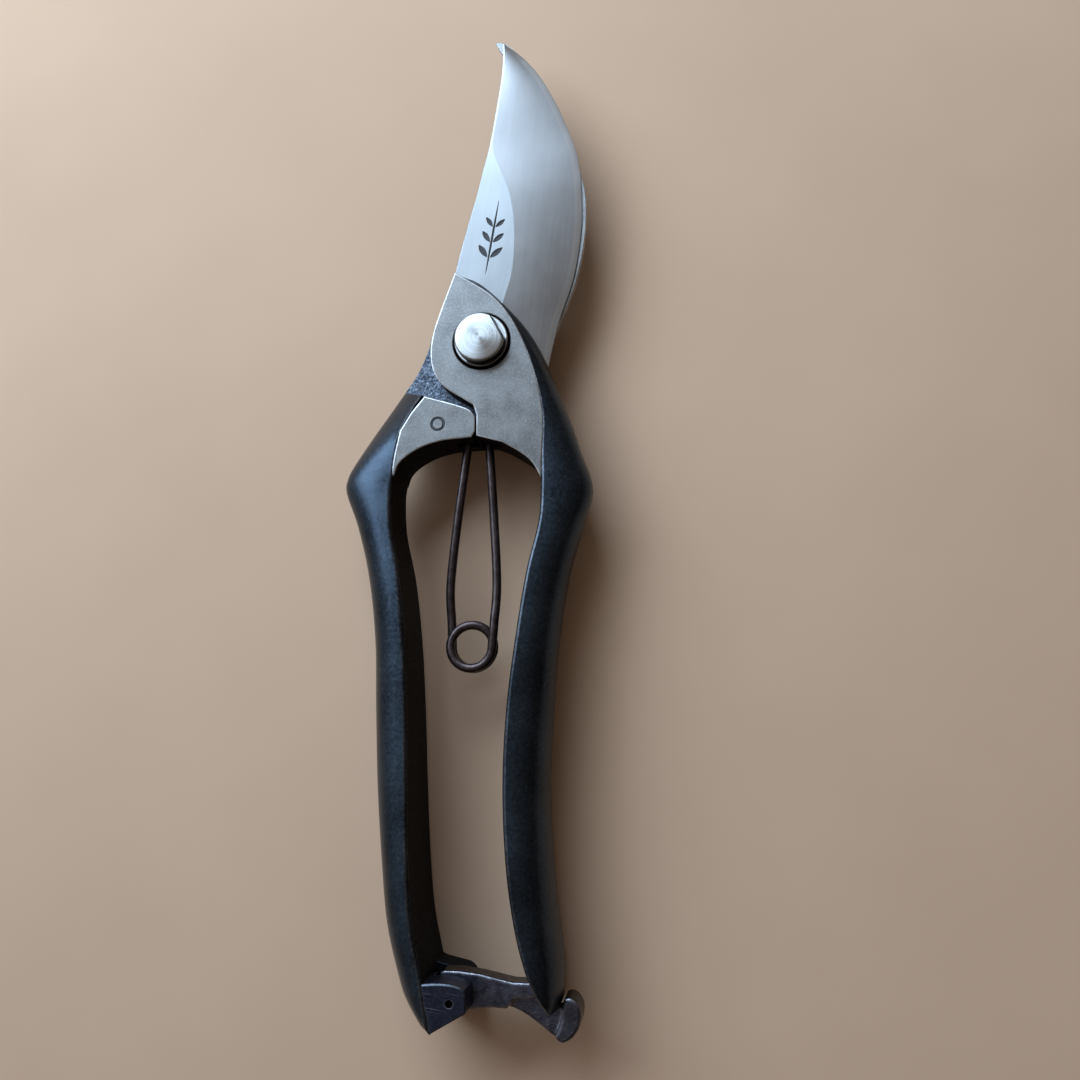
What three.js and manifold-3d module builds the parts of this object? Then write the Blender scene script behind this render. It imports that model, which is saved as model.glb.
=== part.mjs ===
// Forged bypass secateurs, 200 mm class, closed and latched, lying flat with the front face up.
// Millimetres. The pivot axis is +Z, +Y points to the blade tips, and Z = 0 is the surface that
// the pivot nut and the ends of the handles rest on.

import * as THREE from 'three';
import { mergeVertices } from 'three/addons/utils/BufferGeometryUtils.js';
import { ParametricGeometry } from 'three/addons/geometries/ParametricGeometry.js';
import Module from 'manifold-3d';

const wasm = await Module();
wasm.setup();

// ---------------------------------------------------------------- driving dimensions

const CLEARANCE = 0.3;            // gap between pieces that slide on or rest against each other
const SPLIT_Z = 10;               // plane where the two halves slide on each other
const FRONT_Z = 15.8;             // ground front faces of boss and stop shoulder
const BACK_Z = 4.2;               // ground back faces
const UPPER_FLOOR = SPLIT_Z + CLEARANCE / 2;
const LOWER_CEILING = SPLIT_Z - CLEARANCE / 2;
const FAR = 60;                   // longer than any cut has to reach

const STOP_X = -1.05;             // plane where the two stop faces meet
const SECTION_ROUNDNESS = 2.4;    // superellipse exponent of the handles' outer side
const SECTION_STEPS = 12;
const HANDLE_STEPS = 44;
const BLADE_STEPS = 30;
const ARC_STEPS = 36;

const BOLT = {
  shankRadius: 3.5,
  threadRadius: 3.0,
  flangeRadius: 5.4,
  flangeTop: 16.5,
  headRadius: 5.0,
  headTop: 18.8,
  headFillet: 0.5,
  recessRadius: 5.85,
  recessFloor: 13.6,
  flatDistance: 4.1,              // from the axis to the flat on the head
  flatAngle: THREE.MathUtils.degToRad(28),
};
const NUT = { acrossFlats: 12, top: 3.9, chamfer: 0.5 };
const WASHER = { radius: 6.6, bottom: 4.2, top: 5.1 };
const BACK_RECESS = { radius: 7.0, ceiling: 5.4 };

const WIRE_RADIUS = 0.9;
const WIRE_SIDES = 8;
const COIL = { x: -2.5, y: -60.5, radius: 4.25, pitch: 2.2, turns: 1.5 };
const COIL_STEPS_PER_TURN = 28;
const COIL_JOINT_TURN = 0.25;     // where the wire's two nodes meet, in turns from the right leg
const COIL_JOINT_GAP = 0.065;     // room for the coil to wind there, in turns
const SPRING_EYE_Z = SPLIT_Z;
const SPRING_SEAT = { y: -19.9, leftX: -3.6, rightX: 0.6, radius: 2.3, halfHeight: 1.7 };
const SPRING_END_DEPTH = 0.7;     // how far each wire end stands in its seat

const LATCH_PIN = { x: -4.2, y: -125, radius: 1.2, bottom: 1.2, top: 18.6 };
const PUNCH_HOLE_RADIUS = 0.72;   // in the front lug, for driving the pin out
const LATCH = { bottom: 7.5, armTop: 10.6, top: 12.5, padBottom: 6.4, padTop: 13.6 };
const NOTCH_Y = -126.25;          // upper side of the notch in the right handle's end
const CHEEK = { bottom: 0, top: 19.6 };

// ---------------------------------------------------------------- materials

const steel = (name, color, roughness, metalness) =>
  new THREE.MeshStandardMaterial({ name, color, roughness, metalness });

const forgedBlack = steel('forged_black', 0x20242b, 0.42, 0.85);
const turnedBright = steel('turned_bright', 0xb9bfc4, 0.3, 1);
const platedGrey = steel('plated_grey', 0x8d9296, 0.38, 1);
const springBrown = steel('spring_brown', 0x3a3230, 0.4, 0.9);
const latchBrown = steel('latch_brown', 0x2b2a2c, 0.5, 0.85);
const pinSteel = steel('pin_steel', 0x4a4d51, 0.45, 0.95);

// ---------------------------------------------------------------- solids and booleans

function solidOf(geometry) {
  const bare = geometry.clone();
  bare.deleteAttribute('normal');
  bare.deleteAttribute('uv');
  const merged = mergeVertices(bare, 1e-4);
  const index = merged.index.array;
  const triangles = [];
  for (let i = 0; i < index.length; i += 3) {
    const [a, b, c] = index.slice(i, i + 3);
    if (a !== b && b !== c && c !== a) triangles.push(a, b, c);
  }
  return new wasm.Manifold(new wasm.Mesh({
    numProp: 3,
    vertProperties: new Float32Array(merged.attributes.position.array),
    triVerts: new Uint32Array(triangles),
  }));
}

function geometryOf(solid) {
  const mesh = solid.getMesh();
  const geometry = new THREE.BufferGeometry();
  geometry.setAttribute('position', new THREE.BufferAttribute(mesh.vertProperties, 3));
  geometry.setIndex(new THREE.BufferAttribute(mesh.triVerts, 1));
  geometry.computeVertexNormals();
  return geometry;
}

const unite = (...solids) => solids.reduce((whole, solid) => whole.add(solid));
const cut = (solid, ...tools) => tools.reduce((rest, tool) => rest.subtract(tool), solid);

const vectors = (pairs) => pairs.map(([x, y]) => new THREE.Vector2(x, y));

// A smooth stretch of an outline through the given points.
function smooth(pairs, steps = 12) {
  return new THREE.SplineCurve(vectors(pairs)).getPoints(steps);
}

function arc(x, y, radius, fromDegrees, toDegrees, steps = 10) {
  const points = [];
  for (let i = 0; i <= steps; i++) {
    const angle = THREE.MathUtils.degToRad(fromDegrees + (toDegrees - fromDegrees) * i / steps);
    points.push(new THREE.Vector2(x + radius * Math.cos(angle), y + radius * Math.sin(angle)));
  }
  return points;
}

// A flat-sided solid with the given outline, between two heights.
function slab(stretches, bottom, top) {
  const shape = new THREE.Shape(stretches.flat());
  const geometry = new THREE.ExtrudeGeometry(shape, { depth: top - bottom, bevelEnabled: false });
  return solidOf(geometry.translate(0, 0, bottom));
}

function disc(x, y, radius, bottom, top, steps = ARC_STEPS) {
  const geometry = new THREE.CylinderGeometry(radius, radius, top - bottom, steps);
  geometry.rotateX(Math.PI / 2);
  return solidOf(geometry.translate(x, y, (bottom + top) / 2));
}

function skin(rings) {
  const around = rings[0].length;
  const middle = (ring) => ring
    .reduce((sum, point) => sum.add(point), new THREE.Vector3())
    .divideScalar(around);
  const ends = [middle(rings[0]), middle(rings[rings.length - 1])];
  const stacks = rings.length + 1;
  const surface = (u, v, target) => {
    const row = Math.round(v * stacks);
    if (row === 0) return target.copy(ends[0]);
    if (row === stacks) return target.copy(ends[1]);
    return target.copy(rings[row - 1][Math.round(u * around) % around]);
  };
  return solidOf(new ParametricGeometry(surface, around, stacks));
}

// A solid skinned over closed rings of equally many points, each end closed to its middle.
// Rings may run either way round: the skin that faces inwards is turned by reversing them.
function loft(rings) {
  const solid = skin(rings);
  return solid.volume() > 0 ? solid : skin([...rings].reverse());
}

// Smooth rows through stations of equally many numbers, one row for each step.
function rows(stations, steps) {
  const columns = stations[0].map((_, column) =>
    new THREE.SplineCurve(stations.map((station, i) => new THREE.Vector2(i, station[column]))));
  return Array.from({ length: steps + 1 }, (_, i) =>
    columns.map((curve) => curve.getPoint(i / steps).y));
}

// ---------------------------------------------------------------- handles

// One D-shaped ring: a flat inner wall, and a rounded side that faces the hand.
function handleRing([innerX, innerY, outerX, outerY, halfDepth]) {
  const ring = [];
  for (let i = 0; i <= SECTION_STEPS; i++) {
    const angle = Math.PI * (i / SECTION_STEPS - 0.5);
    const across = Math.max(Math.cos(angle), 0) ** (2 / SECTION_ROUNDNESS);
    const rise = Math.sign(angle) * Math.abs(Math.sin(angle)) ** (2 / SECTION_ROUNDNESS);
    ring.push(new THREE.Vector3(
      THREE.MathUtils.lerp(innerX, outerX, across),
      THREE.MathUtils.lerp(innerY, outerY, across),
      SPLIT_Z + halfDepth * rise,
    ));
  }
  return ring;
}

const handle = (stations) => loft(rows(stations, HANDLE_STEPS).map(handleRing));

// Stations run from the shoulder to the end: inner x, y, outer x, y, half depth.
const RIGHT_HANDLE = [
  [8.6, -2.4, 10.8, -1.3, 5.7],
  [10.6, -8.7, 14.0, -7.9, 5.7],
  [11.9, -15.6, 17.1, -15.3, 5.7],
  [11.8, -22.5, 19.4, -22.3, 5.7],
  [12.0, -29.6, 21.6, -29.7, 6.0],
  [11.5, -36.8, 19.6, -37.2, 6.6],
  [9.2, -46.8, 16.8, -47.3, 7.3],
  [7.2, -59.5, 14.8, -59.8, 7.8],
  [5.6, -73.0, 13.7, -73.2, 8.2],
  [5.1, -87.0, 13.0, -87.0, 8.7],
  [5.8, -100.3, 13.6, -101.0, 9.3],
  [7.4, -111.2, 14.7, -111.8, 9.7],
  [9.6, -119.4, 15.7, -119.8, 9.8],
  [11.7, -124.2, 15.5, -124.8, 8.8],
  [12.8, -126.2, 15.0, -126.4, 7.6],
  [13.3, -127.0, 14.5, -127.15, 6.8],
];

const LEFT_HANDLE = [
  [-11.0, -9.9, -16.3, -7.4, 5.7],
  [-14.0, -14.4, -20.1, -12.8, 5.7],
  [-16.2, -18.6, -23.9, -18.2, 5.7],
  [-17.4, -23.6, -27.3, -23.7, 5.7],
  [-18.1, -29.6, -28.7, -28.9, 6.0],
  [-17.6, -37.2, -25.8, -36.8, 6.6],
  [-15.7, -47.0, -23.2, -47.0, 7.3],
  [-14.3, -59.5, -21.6, -59.5, 7.8],
  [-13.5, -73.0, -21.1, -73.0, 8.2],
  [-13.0, -87.0, -20.4, -87.0, 8.7],
  [-12.4, -100.5, -19.2, -100.5, 9.3],
  [-11.4, -111.5, -17.8, -112.0, 9.7],
  [-9.3, -121.3, -15.5, -121.3, 9.8],
  [-8.6, -125.4, -13.9, -125.5, 9.8],
  [-7.9, -128.8, -11.3, -129.2, 9.8],
  [-7.5, -130.2, -8.8, -130.8, 9.7],
];

// ---------------------------------------------------------------- outlines shared by the halves

const mirrorX = (pairs) => pairs.map(([x, y]) => [2 * STOP_X - x, y]);

// The stop shoulder's upper edge, from the outer side of the left handle to the stop face.
const SHOULDER_EDGE = [[-17.4, -8.4], [-11.5, -10.9], [-5.6, -12.7], [-2.4, -14.0], [-1.2, -15.6]];

// The arch between the handles, from the stop plane outwards on each side.
const LEFT_ARCH = [[-7.4, -20.0], [-11.0, -20.9], [-14.4, -22.6], [-16.8, -25.2], [-18.0, -29.5]];
const RIGHT_ARCH = [[1.6, -19.7], [4.3, -20.8], [7.9, -23.0], [10.4, -25.4], [12.0, -29.5]];

// Everything past a stop shoulder's edge that the other half's boss swings through.
function swingRoom(edge, bottom, top) {
  const side = Math.sign(edge[0][0]);
  const stopX = edge[edge.length - 1][0];
  return slab([
    smooth(edge, 16),
    vectors([[stopX, -FAR / 2], [-side * FAR, -FAR / 2], [-side * FAR, FAR * 2]]),
    vectors([[side * FAR, FAR * 2], [side * FAR, edge[0][1]]]),
  ], bottom, top);
}

// ---------------------------------------------------------------- cutting half

// Blade stations from tip to heel: spine x, y, bevel line x, y, edge x, y, spine height.
const CUTTING_BLADE = [
  [3.2, 67.3, 3.4, 67.5, 3.6, 67.6, 10.9],
  [3.3, 63.8, 3.6, 63.8, 7.6, 63.9, 11.5],
  [3.1, 58.9, 3.6, 58.9, 11.2, 59.2, 12.1],
  [2.2, 51.6, 2.8, 51.6, 14.8, 52.2, 12.8],
  [0.9, 43.1, 1.8, 43.1, 18.2, 43.4, 13.3],
  [-1.7, 32.6, 5.0, 32.6, 19.7, 32.8, 13.4],
  [-3.7, 25.4, 6.1, 25.0, 19.6, 24.8, 13.4],
  [-6.0, 16.4, 5.6, 15.6, 18.0, 14.6, 13.4],
  [-7.0, 11.0, 3.9, 9.0, 14.8, 4.8, 13.4],
  [-7.6, 4.0, 2.0, 2.0, 12.6, -4.8, 13.4],
];
const EDGE_LAND = 0.25;

function cuttingBlade() {
  return loft(rows(CUTTING_BLADE, BLADE_STEPS).map(
    ([spineX, spineY, bevelX, bevelY, edgeX, edgeY, height]) => [
      new THREE.Vector3(spineX, spineY, UPPER_FLOOR),
      new THREE.Vector3(spineX, spineY, height),
      new THREE.Vector3(bevelX, bevelY, height),
      new THREE.Vector3(edgeX, edgeY, UPPER_FLOOR + EDGE_LAND),
      new THREE.Vector3(edgeX, edgeY, UPPER_FLOOR),
    ]));
}

// The thick round boss that carries the bolt, down to the arch and its stop face.
function cuttingBoss() {
  const stopX = STOP_X + CLEARANCE / 2;
  return slab([
    smooth([[-5.6, 14.7], [1.7, 9.8], [6.1, 4.4], [9.2, -2.4], [11.2, -8.7], [12.3, -15.0]], 20),
    smooth([[12.4, -19.0], [12.2, -24.6], [11.9, -28.4]], 6),
    smooth([...RIGHT_ARCH].reverse().slice(1), 8),
    vectors([[stopX, -19.3], [stopX, -15.0]]),
    smooth([[-1.6, -13.0], [-3.8, -11.6], [-7.5, -9.1], [-9.6, -6.2], [-10.4, -2.4], [-9.9, 2.2],
      [-8.2, 7.6]], 18),
  ], UPPER_FLOOR, FRONT_Z);
}

// The forged slope between the boss's ground face and the blade.
function bossSlope() {
  const stations = [
    [-6.4, 13.6, -6.0, 16.2, 5.6],
    [-0.6, 10.4, 0.3, 12.0, 5.6],
    [5.4, 4.4, 6.8, 5.0, 5.6],
    [8.6, -2.4, 10.8, -1.3, 5.7],
    [10.6, -8.7, 14.0, -7.9, 5.7],
  ];
  return handle(stations);
}

// The back layer of the stop, mirrored from the front shoulder of the other half.
function cuttingShoulder() {
  const stopX = STOP_X + CLEARANCE / 2;
  return slab([
    smooth([[12.4, -12.0], [9.4, -10.9], [3.5, -12.7], [0.2, -14.0], [stopX, -15.6]], 12),
    vectors([[stopX, -19.3]]),
    smooth(RIGHT_ARCH, 10),
    vectors([[13.0, -29.0], [14.0, -20.0]]),
  ], BACK_Z, SPLIT_Z + 1);
}

// A round pocket in the arch that one end of the spring stands in.
function springSeat(x) {
  const low = SPRING_EYE_Z - SPRING_SEAT.halfHeight;
  const high = SPRING_EYE_Z + SPRING_SEAT.halfHeight;
  return disc(x, SPRING_SEAT.y, SPRING_SEAT.radius, low, high, 20);
}

// The notch in the handle's end that the latch's arm lies in.
function latchNotch() {
  return slab([
    vectors([[FAR / 4, -FAR * 2.5], [FAR / 2, -FAR * 2.5], [FAR / 2, NOTCH_Y], [FAR / 6, NOTCH_Y]]),
  ], LATCH.bottom - CLEARANCE, LATCH.armTop + CLEARANCE);
}

function cuttingHalf() {
  const forging = unite(
    handle(RIGHT_HANDLE), cuttingShoulder(), cuttingBoss(), bossSlope(), cuttingBlade());
  return cut(
    forging,
    swingRoom(mirrorX(SHOULDER_EDGE), -1, UPPER_FLOOR),
    disc(0, 0, BOLT.shankRadius + CLEARANCE, 0, FRONT_Z + 1),
    disc(0, 0, BOLT.recessRadius, BOLT.recessFloor, FRONT_Z + 1),
    latchNotch(),
    springSeat(SPRING_SEAT.rightX),
  );
}

// ---------------------------------------------------------------- counter half

// Hook-shaped counter blade, tip to root: inner x, y, outer x, y, underside height.
const COUNTER_BLADE = [
  [1.5, 68.2, 1.9, 68.4, 8.4],
  [4.6, 63.6, 6.7, 63.9, 7.8],
  [8.3, 57.0, 11.7, 57.3, 7.0],
  [11.1, 50.0, 15.2, 50.2, 6.3],
  [12.9, 42.0, 18.0, 42.2, 5.8],
  [13.6, 33.5, 20.4, 33.2, 5.5],
  [12.7, 24.5, 20.3, 23.6, 5.4],
  [9.8, 16.0, 18.3, 13.6, 5.2],
  [5.0, 9.0, 14.6, 4.2, 4.9],
  [0.0, 3.0, 10.8, -3.0, 4.8],
];
const COUNTER_CHAMFER = 0.34;     // share of the blade's width taken by the chamfer under its edges

function counterBlade() {
  return loft(rows(COUNTER_BLADE, BLADE_STEPS).map(([innerX, innerY, outerX, outerY, low]) => {
    const inner = new THREE.Vector3(innerX, innerY, LOWER_CEILING);
    const outer = new THREE.Vector3(outerX, outerY, LOWER_CEILING);
    const under = (share) => inner.clone().lerp(outer, share).setZ(low);
    const shallow = (LOWER_CEILING + low) / 2;
    return [
      inner,
      outer,
      outer.clone().setZ(shallow),
      under(1 - COUNTER_CHAMFER / 2),
      under(COUNTER_CHAMFER),
      inner.clone().setZ(LOWER_CEILING - 0.4),
    ];
  }));
}

// The back layer: the counter boss around the pivot, out to the handle and the arch.
function counterBoss() {
  const stopX = STOP_X - CLEARANCE / 2;
  return slab([
    smooth([[stopX, -15.0], [-0.5, -13.2], [1.7, -12.0], [5.4, -10.0], [7.8, -7.4], [9.6, -4.2],
      [11.6, -1.4], [13.4, 2.6], [14.8, 6.6]], 22),
    smooth([[9.0, 13.6], [4.0, 12.0], [-2.0, 12.4], [-7.4, 10.4], [-11.0, 6.0], [-12.4, 0.6],
      [-14.6, -4.4], [-17.0, -8.0]], 22),
    vectors([[-20.6, -15.0], [-20.6, -29.0]]),
    smooth([...LEFT_ARCH].reverse(), 12),
    vectors([[stopX, -19.6]]),
  ], BACK_Z, LOWER_CEILING);
}

// The raised front shoulder with the stop face.
function stopShoulder() {
  const stopX = STOP_X - CLEARANCE / 2;
  return slab([
    smooth(SHOULDER_EDGE.slice(1), 10),
    vectors([[stopX, -18.4], [-1.9, -19.6]]),
    smooth(LEFT_ARCH, 12),
    vectors([[-18.2, -27.0], [-17.5, -22.3]]),
    smooth([[-16.4, -17.8], [-14.2, -14.2]], 2),
  ], SPLIT_Z - 1, FRONT_Z);
}

// The lugs at the handle's end. The slot for the latch is cut between them.
function latchLugs() {
  const lowerEnd = [[-1.2, -126.6], [-7.4, -130.0], [-7.8, -129.8], [-8.7, -126.4]];
  const front = slab([
    vectors([[-9.7, -122.0], [-6.5, -121.6], [-4.2, -121.7], [-2.4, -122.1], [-1.5, -122.6], [-1.2, -123.4]]),
    vectors(lowerEnd),
  ], SPLIT_Z, CHEEK.top);
  const back = slab([
    vectors([[-10.6, -122.0], [-10.9, -116.9], [-9.5, -120.3], [-4.0, -121.7], [-2.9, -122.7], [-2.2, -124.4]]),
    vectors(lowerEnd),
  ], CHEEK.bottom, SPLIT_Z + 1);
  return unite(front, back);
}

function latchSlot() {
  return slab([
    vectors([[-8.6, -118.5], [-8.3, -123.0], [-8.0, -127.0], [-7.4, -FAR * 2.5]]),
    vectors([[FAR / 2, -FAR * 2.5], [FAR / 2, -118.5]]),
  ], LATCH.bottom - CLEARANCE, LATCH.top + CLEARANCE);
}

function counterHalf() {
  const forging = unite(
    handle(LEFT_HANDLE), counterBoss(), stopShoulder(), counterBlade(), latchLugs());
  return cut(
    forging,
    swingRoom(SHOULDER_EDGE, LOWER_CEILING, FAR),
    disc(0, 0, BOLT.shankRadius + CLEARANCE, 0, FRONT_Z),
    disc(0, 0, BACK_RECESS.radius, 0, BACK_RECESS.ceiling),
    springSeat(SPRING_SEAT.leftX),
    latchSlot(),
    disc(LATCH_PIN.x, LATCH_PIN.y, LATCH_PIN.radius + CLEARANCE, -1, LATCH_PIN.top + CLEARANCE, 20),
    disc(LATCH_PIN.x, LATCH_PIN.y, PUNCH_HOLE_RADIUS, LATCH_PIN.top, CHEEK.top + 1, 20),
  );
}

// ---------------------------------------------------------------- pivot hardware

function lathe(profile) {
  const geometry = new THREE.LatheGeometry(vectors(profile), ARC_STEPS);
  return solidOf(geometry.rotateX(Math.PI / 2));
}

function pivotBolt() {
  const { shankRadius, threadRadius, flangeRadius, headRadius, headTop, headFillet } = BOLT;
  const headBottom = BOLT.recessFloor + CLEARANCE;
  const shankEnd = NUT.top + CLEARANCE;
  const turned = lathe([
    [0, 0],
    [threadRadius, 0],
    [threadRadius, shankEnd],
    [shankRadius, shankEnd],
    [shankRadius, headBottom],
    [flangeRadius, headBottom],
    [flangeRadius, BOLT.flangeTop],
    [headRadius, BOLT.flangeTop],
    [headRadius, headTop - headFillet],
    [headRadius - headFillet * 0.3, headTop - headFillet * 0.3],
    [headRadius - headFillet, headTop],
    [0, headTop],
  ]);
  const flat = new THREE.BoxGeometry(headRadius, 3 * headRadius, headRadius * 2);
  flat.translate(BOLT.flatDistance + headRadius / 2, 0, BOLT.flangeTop + headRadius);
  return cut(turned, solidOf(flat.rotateZ(BOLT.flatAngle)));
}

function pivotNut() {
  const across = NUT.acrossFlats / 2;
  const corner = across / Math.cos(Math.PI / 6);
  const hexagon = arc(0, 0, corner, 0, 300, 5);
  const blank = slab([hexagon], 0, NUT.top);
  const chamfered = lathe([
    [0, 0],
    [across - NUT.chamfer / 2, 0],
    [corner + NUT.chamfer, NUT.chamfer * 1.7],
    [corner + NUT.chamfer, NUT.top],
    [0, NUT.top],
  ]);
  const bore = disc(0, 0, BOLT.threadRadius + CLEARANCE, -1, NUT.top + 1);
  return blank.intersect(chamfered).subtract(bore);
}

function pivotWasher() {
  const ring = disc(0, 0, WASHER.radius, WASHER.bottom, WASHER.top);
  return cut(ring, disc(0, 0, BOLT.shankRadius + CLEARANCE, 0, FRONT_Z));
}

// ---------------------------------------------------------------- spring

const coilTop = SPRING_EYE_Z + COIL.pitch * COIL.turns / 2;

// A point of the coil, by turns from the foot of the right leg, winding clockwise and down.
function coilPoint(turn) {
  const angle = -2 * Math.PI * turn;
  return new THREE.Vector3(
    COIL.x + COIL.radius * Math.cos(angle),
    COIL.y + COIL.radius * Math.sin(angle),
    coilTop - COIL.pitch * turn,
  );
}

function coilPoints(from, to) {
  const steps = Math.round((to - from) * COIL_STEPS_PER_TURN);
  return Array.from({ length: steps + 1 }, (_, i) => coilPoint(from + (to - from) * i / steps));
}

// A bowed leg from its seat in the arch down to the coil.
function legPoints(topX, bowX, footX, footZ) {
  const top = SPRING_SEAT.y + SPRING_END_DEPTH;
  return new THREE.CatmullRomCurve3([
    new THREE.Vector3(topX, top, SPRING_EYE_Z),
    new THREE.Vector3(topX * 0.45 + bowX * 0.55, -34, SPRING_EYE_Z),
    new THREE.Vector3(bowX, -48, (SPRING_EYE_Z + footZ) / 2),
    new THREE.Vector3(footX + (bowX - footX) * 0.5, -56, footZ),
    new THREE.Vector3(footX, COIL.y, footZ),
  ]).getPoints(16).slice(0, -1);
}

function wire(points) {
  const section = new THREE.Shape(arc(0, 0, WIRE_RADIUS, 0, 360 - 360 / WIRE_SIDES, WIRE_SIDES - 1));
  const path = new THREE.CatmullRomCurve3(points);
  const steps = points.length * 2;
  return solidOf(new THREE.ExtrudeGeometry(section, { steps, extrudePath: path, bevelEnabled: false }));
}

function springRightArm() {
  const foot = coilPoint(0);
  return wire([
    ...legPoints(SPRING_SEAT.rightX, 2.5, foot.x, foot.z),
    ...coilPoints(0, COIL_JOINT_TURN),
  ]);
}

function springLeftArm() {
  const foot = coilPoint(COIL.turns);
  return wire([
    ...legPoints(SPRING_SEAT.leftX, -7.1, foot.x, foot.z),
    ...coilPoints(COIL_JOINT_TURN + COIL_JOINT_GAP, COIL.turns).reverse(),
  ]);
}

// ---------------------------------------------------------------- latch

// A strap, a thinner arm past a step, and a thick hook.
function latch() {
  const heel = [[-4.6, -121.0], [-7.0, -121.8], [-7.8, -124.4], [-7.0, -127.0], [-4.2, -127.9]];
  const underside = [[-1.4, -127.6], [2.0, -127.2], [5.2, -127.3], [8.2, -128.5], [11.0, -130.3]];
  const hookBack = [[13.3, -132.0], [15.4, -132.6], [17.3, -131.7], [18.6, -129.9],
    [19.0, -127.8], [18.8, -126.5], [18.1, -125.3], [17.0, -124.7]];
  const hookFront = [[15.9, -124.9], [15.75, -125.5], [15.6, -126.1], [15.2, -126.7], [14.3, -127.0]];
  const seat = [[13.2, -126.8], [12.3, -126.2], [11.1, -124.6], [10.2, -122.9]];
  const stepEdge = [[5.2, -127.0], [5.9, -126.5], [6.5, -125.6], [7.6, -125.2], [10.0, -125.2]];
  const topEdge = [[9.6, -122.6], [6.3, -122.6], [3.8, -122.1], [0.0, -121.3]];
  const arm = slab([
    smooth(heel, 12),
    smooth([...underside, ...hookBack], 30),
    smooth([...hookFront, ...seat], 16),
    vectors(topEdge),
  ], LATCH.bottom, LATCH.armTop);
  const strap = slab([
    smooth(heel, 12),
    smooth(underside.slice(0, 3), 5),
    smooth(stepEdge, 8),
    vectors(seat.slice(2)),
    vectors(topEdge),
  ], LATCH.armTop - 1, LATCH.top);
  const pad = slab([
    smooth(hookBack.slice(1), 14),
    smooth(hookFront.slice(0, 3), 4),
    vectors([[15.3, -128.4], [14.9, -130.0]]),
  ], LATCH.padBottom, LATCH.padTop);
  return cut(unite(arm, strap, pad),
    disc(LATCH_PIN.x, LATCH_PIN.y, LATCH_PIN.radius + CLEARANCE, 0, FRONT_Z, 20));
}

function latchPin() {
  return disc(LATCH_PIN.x, LATCH_PIN.y, LATCH_PIN.radius, LATCH_PIN.bottom, LATCH_PIN.top, 20);
}

// ---------------------------------------------------------------- assembly

const secateurs = new THREE.Group();

function place(name, solid, material) {
  const mesh = new THREE.Mesh(geometryOf(solid), material);
  mesh.name = name;
  secateurs.add(mesh);
}

place('counter_half', counterHalf(), forgedBlack);
place('cutting_half', cuttingHalf(), forgedBlack);
place('pivot_bolt', pivotBolt(), turnedBright);
place('pivot_nut', pivotNut(), platedGrey);
place('pivot_washer', pivotWasher(), platedGrey);
place('spring_left_arm', springLeftArm(), springBrown);
place('spring_right_arm', springRightArm(), springBrown);
place('latch', latch(), latchBrown);
place('latch_pin', latchPin(), pinSteel);

export default secateurs;
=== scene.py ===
import math
from contextlib import contextmanager

import bmesh
import bpy
import numpy as np
from mathutils import Matrix, Vector

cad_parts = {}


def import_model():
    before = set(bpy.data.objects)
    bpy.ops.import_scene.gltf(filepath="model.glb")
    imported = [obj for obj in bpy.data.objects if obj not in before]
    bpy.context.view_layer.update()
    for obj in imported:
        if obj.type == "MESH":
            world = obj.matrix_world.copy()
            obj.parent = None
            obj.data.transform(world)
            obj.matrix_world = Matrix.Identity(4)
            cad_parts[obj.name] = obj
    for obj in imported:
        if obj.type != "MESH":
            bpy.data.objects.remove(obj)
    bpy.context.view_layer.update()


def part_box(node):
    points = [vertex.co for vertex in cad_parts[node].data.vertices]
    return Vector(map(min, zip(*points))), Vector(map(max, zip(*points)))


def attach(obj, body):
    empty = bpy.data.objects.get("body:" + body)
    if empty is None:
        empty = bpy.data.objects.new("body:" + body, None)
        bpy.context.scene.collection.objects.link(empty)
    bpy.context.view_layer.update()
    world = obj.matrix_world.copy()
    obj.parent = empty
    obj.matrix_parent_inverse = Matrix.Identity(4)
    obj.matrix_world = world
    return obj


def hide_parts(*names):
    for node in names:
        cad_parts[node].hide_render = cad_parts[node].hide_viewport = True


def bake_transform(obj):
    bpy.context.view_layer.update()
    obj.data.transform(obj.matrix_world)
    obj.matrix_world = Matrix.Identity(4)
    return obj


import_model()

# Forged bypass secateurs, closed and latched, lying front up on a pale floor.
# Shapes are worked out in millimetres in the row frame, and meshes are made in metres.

MM = 0.001

# -------- driving dimensions


def heights(node):
    """The lowest and highest z of a CAD node, in millimetres."""
    low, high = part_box(node)
    return low.z / MM, high.z / MM


CLEARANCE = 0.3
SPLIT_Z = 10.0  # plane where the halves slide on each other
FRONT_Z = 15.8  # ground front faces
BACK_Z = 4.2  # ground back faces
UPPER_FLOOR = SPLIT_Z + CLEARANCE / 2
LOWER_CEILING = SPLIT_Z - CLEARANCE / 2
STOP_X = -1.05
CUTTING_STOP_X, COUNTER_STOP_X = STOP_X + CLEARANCE / 2, STOP_X - CLEARANCE / 2
FAR = 60.0  # longer than any cut has to reach
RIM = 0.22  # width of the broken edges round ground faces
RIM_SLOPE = 0.5  # their drop over their width

CORNER_RADIUS = 0.7  # of the handles' inner edges
CORNER_STEPS = 4
SECTION_STEPS = 30
HANDLE_STEPS = 190
BLADE_STEPS = 120
ROUND_STEPS = 96
SLIVER = 0.004  # edges shorter than this are closed up after a cut

NUT_BOTTOM, NUT_TOP = heights("pivot_nut")
WASHER_BOTTOM, WASHER_TOP = heights("pivot_washer")
PIN_BOTTOM, PIN_TOP = heights("latch_pin")
PAD_BOTTOM, PAD_TOP = heights("latch")
HEAD_TOP = heights("pivot_bolt")[1]

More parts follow.
